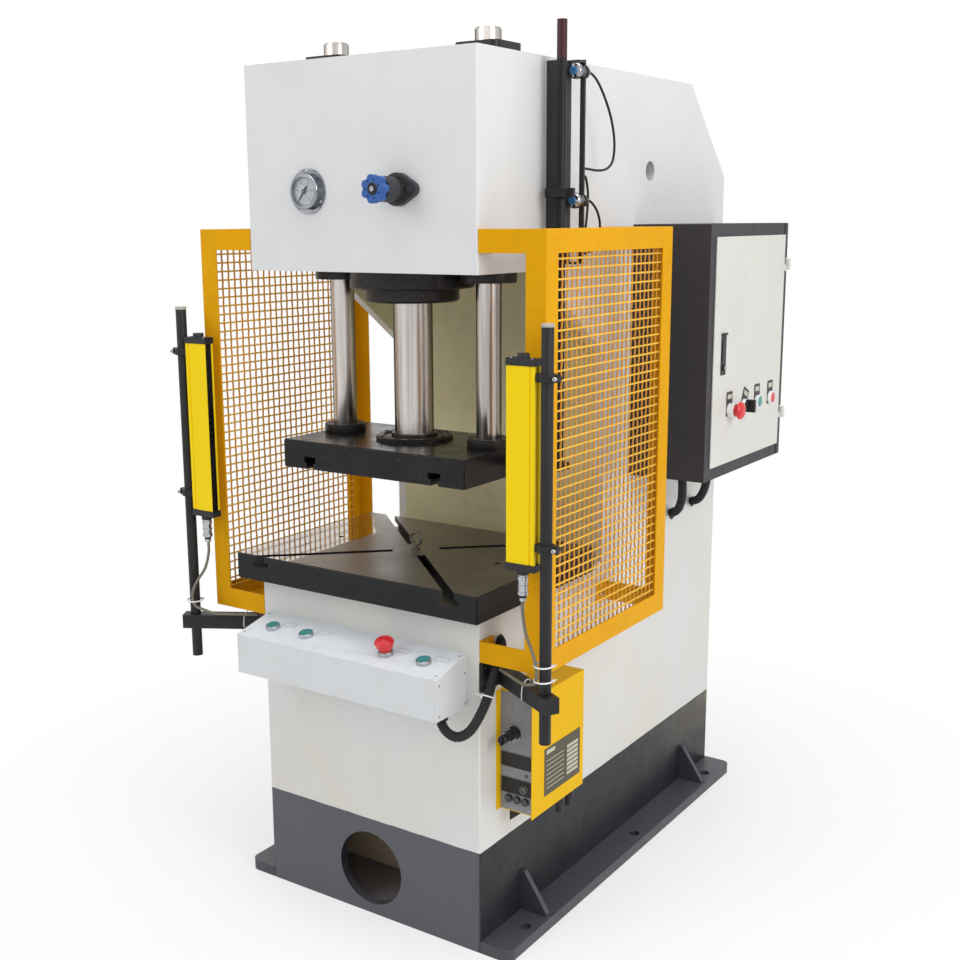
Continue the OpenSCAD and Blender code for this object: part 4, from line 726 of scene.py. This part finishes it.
CURTAIN_LEAD = millimetres([
    (394, -580, 760), (395, -580, 735), (404, -584, 700), (424, -592, 668), (434, -596, 640),
    (430, -594, 616), (414, -584, 606), (392, -572, 598), (366, -557, 597), (338, -541, 597),
    (312, -526, 597)])
SENSOR_LEADS = [
    millimetres([
        (327, -238.7, 1700), (327, -226, 1699), (327, -203, 1687), (327, -176, 1662),
        (327, -151, 1630), (327, -136, 1598), (327, -131, 1568), (327, -139, 1540),
        (327, -163, 1526), (327, -200, 1522), (327, -240, 1524), (327, -257.6, 1524)]),
    millimetres([
        (327, -238.7, 1464), (327, -226, 1463), (327, -202, 1448), (327, -187, 1424),
        (327, -190, 1396), (327, -212, 1374), (327, -240, 1365), (327, -257.6, 1365)]),
    millimetres([
        (327, -257.6, 1510), (327, -247, 1509), (322, -232, 1497), (321, -225, 1474),
        (321, -228, 1440), (322, -236, 1408), (326, -248, 1388), (326, -257.6, 1386)])]
BOX_CONDUIT = millimetres([
    (226, -600, 514), (227, -600, 496), (240, -600, 480), (262, -597, 474), (284, -588, 488),
    (297, -572, 518), (302, -553, 549), (302, -537, 577), (301, -521, 602), (297, -502, 620),
    (287, -483, 631), (270, -466, 635)])
CABINET_HOSES = [
    millimetres([(360, 160, 869.4), (360, 161, 852), (354, 176, 826), (338, 208, 792),
                 (314, 244, 762), (290, 272, 745), (266, 294, 736)]),
    millimetres([(360, 300, 869.4), (360, 301, 852), (354, 312, 828), (336, 338, 793),
                 (312, 366, 765), (288, 390, 751), (264, 408, 744)])]


LEAD_RADIUS = 3 * MM
CONDUIT_RADIUS = 10 * MM
CONDUIT_PITCH = 5 * MM


def ribbed(shape, path):
    """A corrugated conduit: a tube whose radius swells and shrinks along its length."""
    points = spline(path, CONDUIT_PITCH / 4)
    radii = [CONDUIT_RADIUS * (0.93 + 0.07 * math.cos(math.pi * k / 2)) for k in range(len(points))]
    shape.sweep(points, radii, 16)


def add_leads():
    """The curtain and sensor leads, the ribbed conduits, and the glands at the conduits' ends."""
    curtain = Shape(METRE)
    for route in (CURTAIN_LEAD, mirrored(CURTAIN_LEAD)):
        curtain.sweep(spline(route, 6 * MM), LEAD_RADIUS, 12)
    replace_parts(curtain.piece("curtain_leads", "grey_sheath", smooth=60), "signal_leads")
    sensor = Shape(METRE)
    for route in SENSOR_LEADS:
        sensor.sweep(spline(route, 5 * MM), 0.8 * LEAD_RADIUS, 12)
    sensor.piece("sensor_leads", "black_rubber", smooth=60)
    conduit = Shape(METRE)
    for route in [BOX_CONDUIT] + CABINET_HOSES:
        ribbed(conduit, route)
    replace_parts(conduit.piece("ribbed_conduits", "black_rubber", smooth=80), "flexible_conduits")
    glands = Shape()
    for route in CABINET_HOSES:
        glands.lathe([(0, 0), (14, 0), (14, 8), (12, 10), (0, 10)],
                     facing(route[0] / MM - 10 * UP, UP), 6)
        glands.lathe([(0, 0), (15, 0), (15, 9), (12, 12), (0, 12)],
                     facing(route[-1] / MM, RIGHT), 24)
    glands.lathe([(0, 0), (14, 0), (14, 9), (12, 11), (0, 11)],
                 facing(BOX_CONDUIT[0] / MM - 11 * UP, UP), 24)
    glands.piece("conduit_glands", "black_plastic", smooth=40)


# ---- Wire guards ----

WEAVE_PITCH = 18
WIRE = 1.9
WIRE_OFFSET = 0.9


def wave_tube(shape, start, along, length, phase):
    """One crimped wire: a tube that leans over and under the wires that cross it."""
    count = round(length / WEAVE_PITCH * 2)
    path = []
    for k in range(count + 1):
        s = k * length / count
        swing = WIRE * 0.35 * math.cos(math.pi * (s / WEAVE_PITCH + phase))
        path.append(start + along * s + RIGHT * swing)
    shape.sweep(path, WIRE)


def add_weave(side):
    """The guard's real mesh: crimped wires woven at an 18 mm pitch."""
    low, high = box("guard_meshes")
    plane = side * (high.x - 2 * WIRE)
    rows = math.floor((high.z - low.z) / WEAVE_PITCH)
    columns = math.floor((high.y - low.y) / WEAVE_PITCH)
    z0 = (low.z + high.z - rows * WEAVE_PITCH) / 2
    y0 = (low.y + high.y - columns * WEAVE_PITCH) / 2
    uprights, levels = Shape(), Shape()
    for j in range(columns + 1):
        start = Vector((plane - WIRE_OFFSET, y0 + j * WEAVE_PITCH, z0))
        wave_tube(uprights, start, UP, rows * WEAVE_PITCH, j)
    for i in range(rows + 1):
        start = Vector((plane + WIRE_OFFSET, y0, z0 + i * WEAVE_PITCH))
        wave_tube(levels, start, -FRONT, columns * WEAVE_PITCH, i + 1)
    name = "right" if side > 0 else "left"
    uprights.piece(f"weave_uprights_{name}", "upright_shaded_paint", smooth=60)
    return levels.piece(f"weave_levels_{name}", "weave_paint", smooth=60)


def socket_screw(shape, place, radius, height):
    """A cap screw's head with its hexagon socket."""
    shape.lathe([(0, 0), (radius, 0), (radius, height * 0.85), (radius * 0.88, height),
                 (radius * 0.5, height), (radius * 0.5, height * 0.4), (0, height * 0.4)],
                place, 24)


def hex_bolt(shape, place, radius, height):
    """A hexagon head on a washer."""
    shape.lathe([(0, 0), (radius * 1.3, 0), (radius * 1.3, height * 0.2), (0, height * 0.2)],
                place, 24)
    shape.lathe([(0, height * 0.2), (radius, height * 0.2), (radius, height * 0.9),
                 (radius * 0.85, height), (0, height)], place, 6)


def pan_screw(shape, place, radius):
    """A small round head with a cross slot's shallow dish."""
    shape.lathe([(0, 0), (radius, 0), (radius * 0.9, radius * 0.45), (radius * 0.4, radius * 0.62),
                 (radius * 0.25, radius * 0.35), (0, radius * 0.3)], place, 16)


def add_guard_screws():
    """Two hexagon screws through each foot of the guards into the side plates."""
    low, high = box("guard_frames")
    x = box("side_plates")[1].x + 5
    shape = Shape()
    for side in (-1, 1):
        for z in (low.z + 21, high.z - 21):
            for y in (low.y + 28, high.y - 28):
                hex_bolt(shape, facing((side * x, y, z), (side, 0, 0)), 6.5, 6)
    shape.piece("guard_screws", "nickel", smooth=30)


# ---- Head instruments ----

plate_front = box("head_front_plate")[0].y


def add_gauge():
    """The dial with its marks and numbers, the glass, the polished rim and three screws."""
    x, _, z = middle("gauge_case")
    case_y = box("gauge_case")[0].y
    dial_y = case_y + 7
    start, span, numbers, steps = -38, 284, 6, 51
    dial = facing((x, dial_y - 0.02, z), FRONT)
    Shape().lathe([(0, 0), (28.5, 0), (28.5, 0.5), (0, 0.5)], dial, 64).piece(
        "gauge_dial", "dial_white", smooth=30)
    marks = Shape()
    printed = facing((x, dial_y - 0.52, z), FRONT)
    outer = 25.5
    for k in range(steps):
        angle = math.radians(start - k * span / (steps - 1))
        inner, half = (20.5, 0.55) if k % 10 == 0 else (23.3, 0.22)
        marks.prism([(-half, -outer), (half, -outer), (half, -inner), (-half, -inner)], 0, 0.15,
                    printed @ Matrix.Rotation(angle, 4, "Z"))
    marks.ring(25.9, 26.3, 0, 0.15, printed, 64)
    marks.piece("gauge_marks", "ink")
    for k in range(numbers):
        angle = math.radians(start - k * span / (numbers - 1))
        at = Vector((x + 16.5 * math.sin(angle), dial_y - 0.6, z - 16.5 * math.cos(angle)))
        text = bpy.data.curves.new(f"gauge_number_{k}", "FONT")
        text.body = str(5 * k)
        text.size = 6 * MM
        text.align_x = text.align_y = "CENTER"
        text.extrude = 0.05 * MM
        obj = new_object(text.name, text)
        text.materials.append(MATERIALS["ink"])
        obj.matrix_world = facing(at * MM, FRONT)
        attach(obj, FRAME_BODY)
    lens = [(0, 0), (28.6, 0), (28.6, 1.5), (20, 1.9), (0, 2.2)]
    Shape().lathe(lens, facing((x, case_y + 3.6, z), FRONT), 64).piece(
        "gauge_glass", "clear_glass", smooth=60)
    rim = [(27.6, 0), (32.5, 0), (34, -1.4), (34.2, -3), (27.6, -3)]
    Shape().lathe(rim, facing((x, case_y + 0.4, z), FRONT), 64, closed=True).piece(
        "gauge_rim", "bezel_chrome", smooth=50)
    screws = Shape()
    for k in range(3):
        angle = math.radians(90 + 120 * k)
        at = (x + 38.5 * math.cos(angle), plate_front - 3, z + 38.5 * math.sin(angle))
        pan_screw(screws, facing(at, FRONT), 3)
    screws.piece("gauge_screws", "nickel", smooth=40)


def add_valve():
    """The handwheel's hub and screw, and the knurled ring of the valve behind it."""
    x, _, z = middle("valve_handwheel")
    wheel_y = box("valve_handwheel")[0].y
    Shape().lathe([(0, 0), (11, 0), (11, 2.5), (9.5, 4), (0, 4)],
                  facing((x, wheel_y + 2.5, z), FRONT), 32).piece(
        "handwheel_hub", "black_plastic", "handwheel", smooth=35)
    screw = Shape()
    socket_screw(screw, facing((x, wheel_y - 1.4, z), FRONT), 4.5, 2.5)
    screw.piece("handwheel_screw", "nickel", "handwheel", smooth=35)
    knurl = Shape()
    ring = facing((x, plate_front - 14, z), FRONT)
    ridges = 40
    for k in range(ridges):
        knurl.prism([(22.4, -0.9), (23.9, 0), (22.4, 0.9)], 0, 14,
                    ring @ Matrix.Rotation(2 * math.pi * k / ridges, 4, "Z"))
    knurl.piece("valve_knurl", "black_steel")


# ---- Control box ----

BOX_SLOPE_DEPTH = 102
BOX_SLOPE_FALL = 23
BOX_OPERATORS_DOWN = 57
BOX_OPERATORS = (-192, -102, 102, 192)
BOX_STOP_X = 102


def box_surface(x, along=0.0):
    """A matrix on the control box's sloping top, x from its centre and along down the slope."""
    down = Vector((0, -BOX_SLOPE_DEPTH, -BOX_SLOPE_FALL)).normalized()
    top = Vector((middle("control_box_ends").x + x, plate_front, box("control_box_ends")[1].z))
    place = Matrix((RIGHT, -down, RIGHT.cross(-down))).transposed().to_4x4()
    place.translation = top + down * (BOX_OPERATORS_DOWN + along)
    return place


def add_box_details():
    """The box's screws, and an empty outline by each operator where the photo has a label."""
    low, high = box("control_box_ends")
    screws = Shape()
    heights = (low.z + 9, low.z + 70)
    for side, x_end in ((-1, low.x), (1, high.x)):
        for y in (low.y + 9, high.y - 9):
            for z in heights:
                pan_screw(screws, facing((x_end, y, z), (side, 0, 0)), 2.2)
        for z in heights:
            pan_screw(screws, facing((x_end - side * 9, low.y + 1.6, z), FRONT), 2.6)
        for along in (-44, 34):
            pan_screw(screws, box_surface(side * 243, along), 2.6)
    screws.piece("box_screws", "nickel", smooth=40)
    labels = Shape()
    for x in BOX_OPERATORS:
        place = box_surface(x + 27, -22)
        outer = round_outline(31, 14, 4, 4)
        inner = round_outline(29.4, 12.4, 3.2, 4)
        n = len(outer)
        labels.add([place @ Vector((px, py, 0.12)) for px, py in outer + inner],
                   [[k, (k + 1) % n, n + (k + 1) % n, n + k] for k in range(n)])
    labels.piece("box_label_outlines", "label_line")


# ---- Light curtains ----

ARM_Z = 577
POLE_RADIUS = 11


def add_curtain_details():
    """The curtains' dark windows with a row of lenses each, and the screws of their caps."""
    low, high = box("light_curtains")
    inner = high.x - 58
    y = middle("light_curtains").y
    window, lenses, screws = Shape(), Shape(), Shape()
    for side in (-1, 1):
        x0, x1 = sorted((side * (inner - 0.5), side * (inner + 1.6)))
        window.block((x0, y - 10.2, low.z + 0.2), (x1, y + 5, high.z - 0.2))
        for k in range(24):
            at = (side * (inner - 0.5), y - 4, low.z + 18 + k * 13.6)
            lenses.lathe([(0, 0), (3.2, 0), (2.6, 0.3), (0, 0.4)], facing(at, (-side, 0, 0)), 12)
        for z, way in ((high.z + 13, 1), (low.z - 13, -1)):
            for dx in (8, 50):
                pan_screw(screws, facing((side * (inner + dx), y - 7, z), (0, 0, way)), 2)
    window.piece("curtain_windows", "window_black", bevel=0.3)
    lenses.piece("curtain_lenses", "window_black", smooth=40)
    screws.piece("curtain_cap_screws", "nickel", smooth=40)


def add_connectors():
    """Knurled rings on the curtains' round plugs, and the rubber boots under them."""
    low, high = box("light_curtains")
    rings, boots = Shape(), Shape()
    for side in (-1, 1):
        place = Matrix.Translation((side * (high.x - 29), middle("light_curtains").y, low.z))
        for z0, z1 in ((-31, -24), (-43, -40), (-58, -52)):
            rings.lathe([(8.6, z0), (10.2, z0 + 0.6), (10.2, z1 - 0.6), (8.6, z1)], place, 24,
                        closed=True)
        boots.lathe([(0, -70), (5, -70), (7.6, -60), (7.6, -58.5), (0, -58.5)], place, 24)
    rings.piece("plug_rings", "nickel", smooth=30)
    boots.piece("plug_boots", "black_rubber", smooth=40)


def tie(shape, at, across, radius, along, tail=0.0):
    """A cable tie round a lead and what carries it, with its head and cut tail."""
    shape.ring(radius, radius + 1.2, -1.4, 1.4, facing(at, along), 32)
    out = Vector(across).normalized()
    head = Vector(at) + out * (radius + 2)
    shape.block(head - Vector((2.5, 2.5, 2.2)), head + Vector((2.5, 2.5, 2.2)))
    if tail:
        end = head + out * tail
        shape.sweep([head, (head + end) / 2 + 1.5 * UP, end + 3 * UP], 1)


def add_ties():
    """White ties: round the poles and their leads, on the box's conduit and over the arms."""
    x = box("curtain_poles")[1].x - 14
    y = middle("curtain_poles").y - 4
    shape = Shape()
    for z in (647, 619):
        tie(shape, (x, y, z), (0.9, 0.45, 0), 16, UP, 7)
    tie(shape, (-x, y, 624), (0.4, 0.9, 0), 16, UP)
    at, ahead = BOX_CONDUIT[6] / MM, BOX_CONDUIT[7] / MM
    tie(shape, at, (-0.7, -0.7, 0.2), 10.6, ahead - at, 12)
    sag = [(0, 14, 15.5), (2, 6, 22), (3, -6, 26), (1, -16, 18), (0, -19, 4), (0, -18.6, -10)]
    for at in ((388, -553, ARM_Z), (-340, -520, ARM_Z)):
        shape.sweep(spline([Vector(at) + Vector(p) for p in sag], 3), 1)
    shape.piece("cable_ties", "white_plastic", smooth=40)


def add_clamp_bolts():
    """The clamps' screws, the caps on the poles and the screws of the arms' brackets."""
    low, high = box("pole_clamps")
    pole = middle("curtain_poles")
    pole_top = box("curtain_poles")[1]
    side_x = box("side_plates")[1].x + 8
    cap = [(11.05, -4), (11.8, -4), (11.8, 0.6), (10.6, 1.8), (0, 2), (0, 0.1), (11.05, 0.1)]
    clamps, caps, brackets = Shape(), Shape(), Shape()
    for side in (-1, 1):
        for z in (low.z + 7, high.z - 7):
            socket_screw(clamps, facing((side * (high.x - 4), pole.y - 9, z), FRONT), 4, 4)
        at = (side * (pole_top.x - POLE_RADIUS), pole.y, pole_top.z)
        caps.lathe(cap, Matrix.Translation(at), 40, closed=True)
        for dy in (10, 66):
            for dz in (-20, 20):
                at = (side * side_x, plate_front + dy, ARM_Z + dz)
                socket_screw(brackets, facing(at, (side, 0, 0)), 4.5, 4.5)
    clamps.piece("clamp_screws", "nickel", smooth=35)
    caps.piece("pole_caps", "grey_plastic", smooth=35)
    brackets.piece("bracket_screws", "black_steel", smooth=35)


# ---- Cabinet and controller ----

DOOR_OPERATORS = (178, 258, 338, 418)
DOOR_OPERATOR_Z = 1016


def add_cabinet_details():
    """Bare plates by the operators, the channel at the hinges, the latch's barrel and paddle."""
    face_x = box("door_bezels")[0].x + 30
    plates, fields = Shape(), Shape()
    for y, tilt in zip(DOOR_OPERATORS, (0, -26, 0, 0)):
        place = (facing((face_x, y, DOOR_OPERATOR_Z), RIGHT)
                 @ Matrix.Rotation(math.radians(tilt), 4, "Z") @ Matrix.Translation((0, 13, 0)))
        plates.prism(round_outline(31, 54, 2, 3), 0, 1.2, place)
        fields.prism([(-11, 11), (11, 11), (11, 21), (-11, 21)], 1.1, 1.35, place)
    plates.piece("operator_plates", "plate_black", "door")
    fields.piece("operator_fields", "field_grey", "door")
    add_edge_channel(face_x - 1.5)
    low, high = box("door_latch")
    y = middle("door_latch").y
    Shape().lathe([(0, 0), (5.5, 0), (5.5, 1), (4.5, 1.6), (0, 1.6)],
                  facing((high.x, y, low.z + 16), RIGHT), 32).piece(
        "latch_barrel", "nickel", "latch", smooth=35)
    Shape().prism(round_outline(17, 46, 3, 4), 0, 1.4,
                  facing((high.x - 4, y, low.z + 52), RIGHT)).piece(
        "latch_paddle", "cabinet_paint", "latch", bevel=0.5)


def add_edge_channel(x):
    """The dark channel beside the door's hinged edge, left out where the hinges are."""
    door_low, door_high = box("cabinet_door")
    hinge_low, hinge_high = box("cabinet_hinges")
    shell_low, shell_high = box("cabinet_shell")
    leaf = 28
    heights = [shell_low.z + 0.5, hinge_low.z - 1, hinge_low.z + leaf,
               hinge_high.z - leaf, hinge_high.z + 1, shell_high.z - 0.5]
    channel = Shape()
    for z0, z1 in zip(heights[::2], heights[1::2]):
        channel.block((door_low.x - 0.5, door_high.y - 23, z0), (x, door_high.y - 5, z1))
    channel.piece("cabinet_edge_channel", "cabinet_paint", bevel=1)


def add_controller_details():
    """The rating plate without words, and the grey panel's sockets, bands, rings and screws."""
    low, high = box("controller_cover")
    panel_y = low.y + 14
    mid_x = middle("controller_cover").x
    plate = Vector((high.x, low.y + 46, low.z + 31))
    Shape().block(plate, plate + Vector((0.8, 141, 99))).piece(
        "rating_plate", "plate_grey", bevel=0.2)
    fields = Shape()

    def field(y0, y1, z, tall):
        """One pale field on the plate."""
        fields.block(plate + Vector((0.7, y0, z)), plate + Vector((0.95, y1, z + tall)))

    for k in range(7):
        field(8, 76, 14 + 9.5 * k, 1.5)
        field(88, 132, 14 + 9.5 * k, 6.5)
    field(8, 40, 86, 8)
    fields.piece("rating_fields", "field_grey")

    def on_panel(dx, dz, ahead=0.0):
        """A matrix on the grey panel, dx from its middle line and dz above its foot."""
        return facing((mid_x + dx, panel_y - ahead, low.z + dz), FRONT)

    silver, bands, screws = Shape(), Shape(), Shape()
    for z0, z1 in ((93, 122), (38, 70)):
        bands.block((low.x + 5, panel_y - 1.9, low.z + z0), (high.x - 5, panel_y - 1.4, low.z + z1))
    for dx in (-19, 0, 19):
        silver.lathe([(0, 0), (2.6, 0), (2.6, 2.6), (1.6, 3.4), (0, 3.4)], on_panel(dx, 27, 1), 20)
        bands.ring(5.2, 7.7, 0, 5.4, on_panel(dx, 27), 24)
    silver.lathe([(0, 0), (3, 0), (3, 3), (2, 4), (0, 4)], on_panel(20, 81), 20)
    silver.lathe([(0, 0), (7.6, 0), (7.6, 3), (5, 3), (5, 1), (0, 1)], on_panel(18, 54, 7), 24)
    for y in (low.y + 174, low.y + 136):
        silver.ring(7.2, 11, -8, -1, Matrix.Translation((high.x - 18, y, low.z)), 24)
    silver.piece("controller_connectors", "dull_nickel", smooth=35)
    knob = Shape()
    key = middle("key_switch")
    for depth, radius in ((0, 17), (9, 13.5), (26, 10.6), (42, 9.6)):
        knob.ring(radius - 3, radius, 0, 1.6, facing((key.x, panel_y - depth, key.z), FRONT), 40)
    knob.piece("knob_rings", "bezel_chrome", "key", smooth=35)
    bands.piece("controller_bands", "plate_black", bevel=0.2)
    for dx in (-28, 28):
        for dz in (10, high.z - low.z - 12):
            pan_screw(screws, on_panel(dx, dz), 2.6)
    screws.piece("controller_screws", "nickel", smooth=35)


# ---- Slide and sensors ----

SENSOR_HEIGHTS = (1464, 1700)


def add_slide_screws():
    """A ring of cap screws in each rod collar and in the ram's flange."""
    high = box("rod_collars")[1]
    y = middle("rod_collars").y
    flange_z = box("ram_flange")[0].z + 7
    shape = Shape()
    rings = [(side * (high.x - 44), 30, 35, high.z - 4, 4.6) for side in (-1, 1)]
    for x, first, radius, z, tall in rings + [(0, 0, 72, flange_z, 3.5)]:
        for k in range(6):
            angle = math.radians(first + 60 * k)
            at = (x + radius * math.cos(angle), y + radius * math.sin(angle), z)
            socket_screw(shape, facing(at, UP), 4.2, tall)
    shape.piece("slide_screws", "black_steel", "slide", smooth=35)


def add_sensors():
    """Two proximity sensors: a blue sensing face in a rounded head, a thread, two nuts, a gland."""
    x = middle("proximity_sensors").x
    front_y = box("proximity_sensors")[0].y
    thread = [(0, 17), (8.2, 17)]
    for k in range(24):
        thread += [(8.3, 17.4 + 1.25 * k), (9.0, 18.0 + 1.25 * k)]
    thread += [(8.3, 47.6), (8, 49), (0, 49)]
    faces, heads, bodies, glands = Shape(), Shape(), Shape(), Shape()
    for z in SENSOR_HEIGHTS:
        place = facing((x, front_y, z), -FRONT)
        faces.lathe([(0, 0), (6.6, 0), (7.6, 1.0), (7.6, 5), (0, 5)], place, 40)
        heads.lathe([(0, 4.2), (8.4, 4.2), (9.2, 4.6), (12.4, 5.6), (14.2, 8), (15, 11.2),
                     (15, 15.4), (14.4, 16.6), (12.2, 17.4), (9, 17.6), (0, 17.6)], place)
        bodies.lathe(thread, place, 32)
        for start, radius in ((31.8, 11.6), (42.2, 12.6)):
            bodies.lathe([(0, start), (radius - 1, start), (radius, start + 1), (radius, start + 4),
                          (radius - 1, start + 5), (0, start + 5)], place, 6)
        glands.lathe([(0, 48), (6.6, 48), (7.2, 49), (7.2, 53), (6.4, 54), (6.4, 57), (4.8, 60),
                      (2.6, 61), (0, 61)], place, 32)
    faces.piece("sensor_faces", "sensor_blue", smooth=40)
    heads.piece("sensor_heads", "bezel_chrome", smooth=30)
    glands.piece("sensor_glands", "gland_nickel", smooth=40)
    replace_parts(bodies.piece("sensor_bodies", "dull_nickel", smooth=25), "proximity_sensors")


def add_stop_collars():
    """A flared red collar under the box's emergency stop and a white ring round the door's."""
    rise, travel = 9, 4
    flare = [(8, rise - 1.5), (11.4, rise - 1.5), (11.4, rise + travel + 0.4),
             (15.4, rise + travel + 1.9), (17.4, 19.8), (18.5, 24.93), (8, 25.2)]
    Shape().lathe(flare, box_surface(BOX_STOP_X, 1.55), closed=True).piece(
        "box_stop_collar", "red_plastic", "box_stop", smooth=40)
    at = (box("door_bezels")[0].x + 30, DOOR_OPERATORS[0], DOOR_OPERATOR_Z)
    ring = [(13.7, rise - 1), (14.9, rise - 1), (14.9, rise + 7), (13.7, rise + 7.5)]
    Shape().lathe(ring, facing(at, RIGHT), closed=True).piece(
        "door_stop_ring", "white_plastic", "door", smooth=40)


def add_plug_seam():
    """The thin dark joint line round the plug in the table's middle."""
    low, high = box("centre_plug")
    radius = (high.x - low.x) / 2
    place = Matrix.Translation((0, (low.y + high.y) / 2, high.z))
    Shape().ring(radius - 0.6, radius + 0.5, 0, 0.08, place, 96).piece("plug_seam", "black_steel")


def add_base_shade_and_partition():
    """A grey sheet on the floor inside the base, painted shade that keeps the hand hole dark
    inside, and the partition behind it, both seen through the hand hole.
    """
    low, high = box("lower_front_plate")
    x0, x1, sheet = low.x + 4, high.x - 4, 3
    partition_y = -366
    # Painted shade: this sheet stands in for the shade on the floor inside the base.
    Shape().block((x0, high.y + 6, 0.6), (x1, partition_y, sheet)).piece("base_shade_sheet", "base_shade_paint")
    Shape().block((x0, partition_y, sheet), (x1, partition_y + sheet, 230)).piece(
        "base_partition", "partition_paint")


add_base_shade_and_partition()
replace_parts(add_weave(1), "guard_meshes")
add_weave(-1)
add_leads()
add_guard_screws()
add_gauge()
add_valve()
add_box_details()
add_curtain_details()
add_connectors()
add_ties()
add_clamp_bolts()
add_cabinet_details()
add_controller_details()
add_slide_screws()
add_sensors()
add_stop_collars()
add_plug_seam()
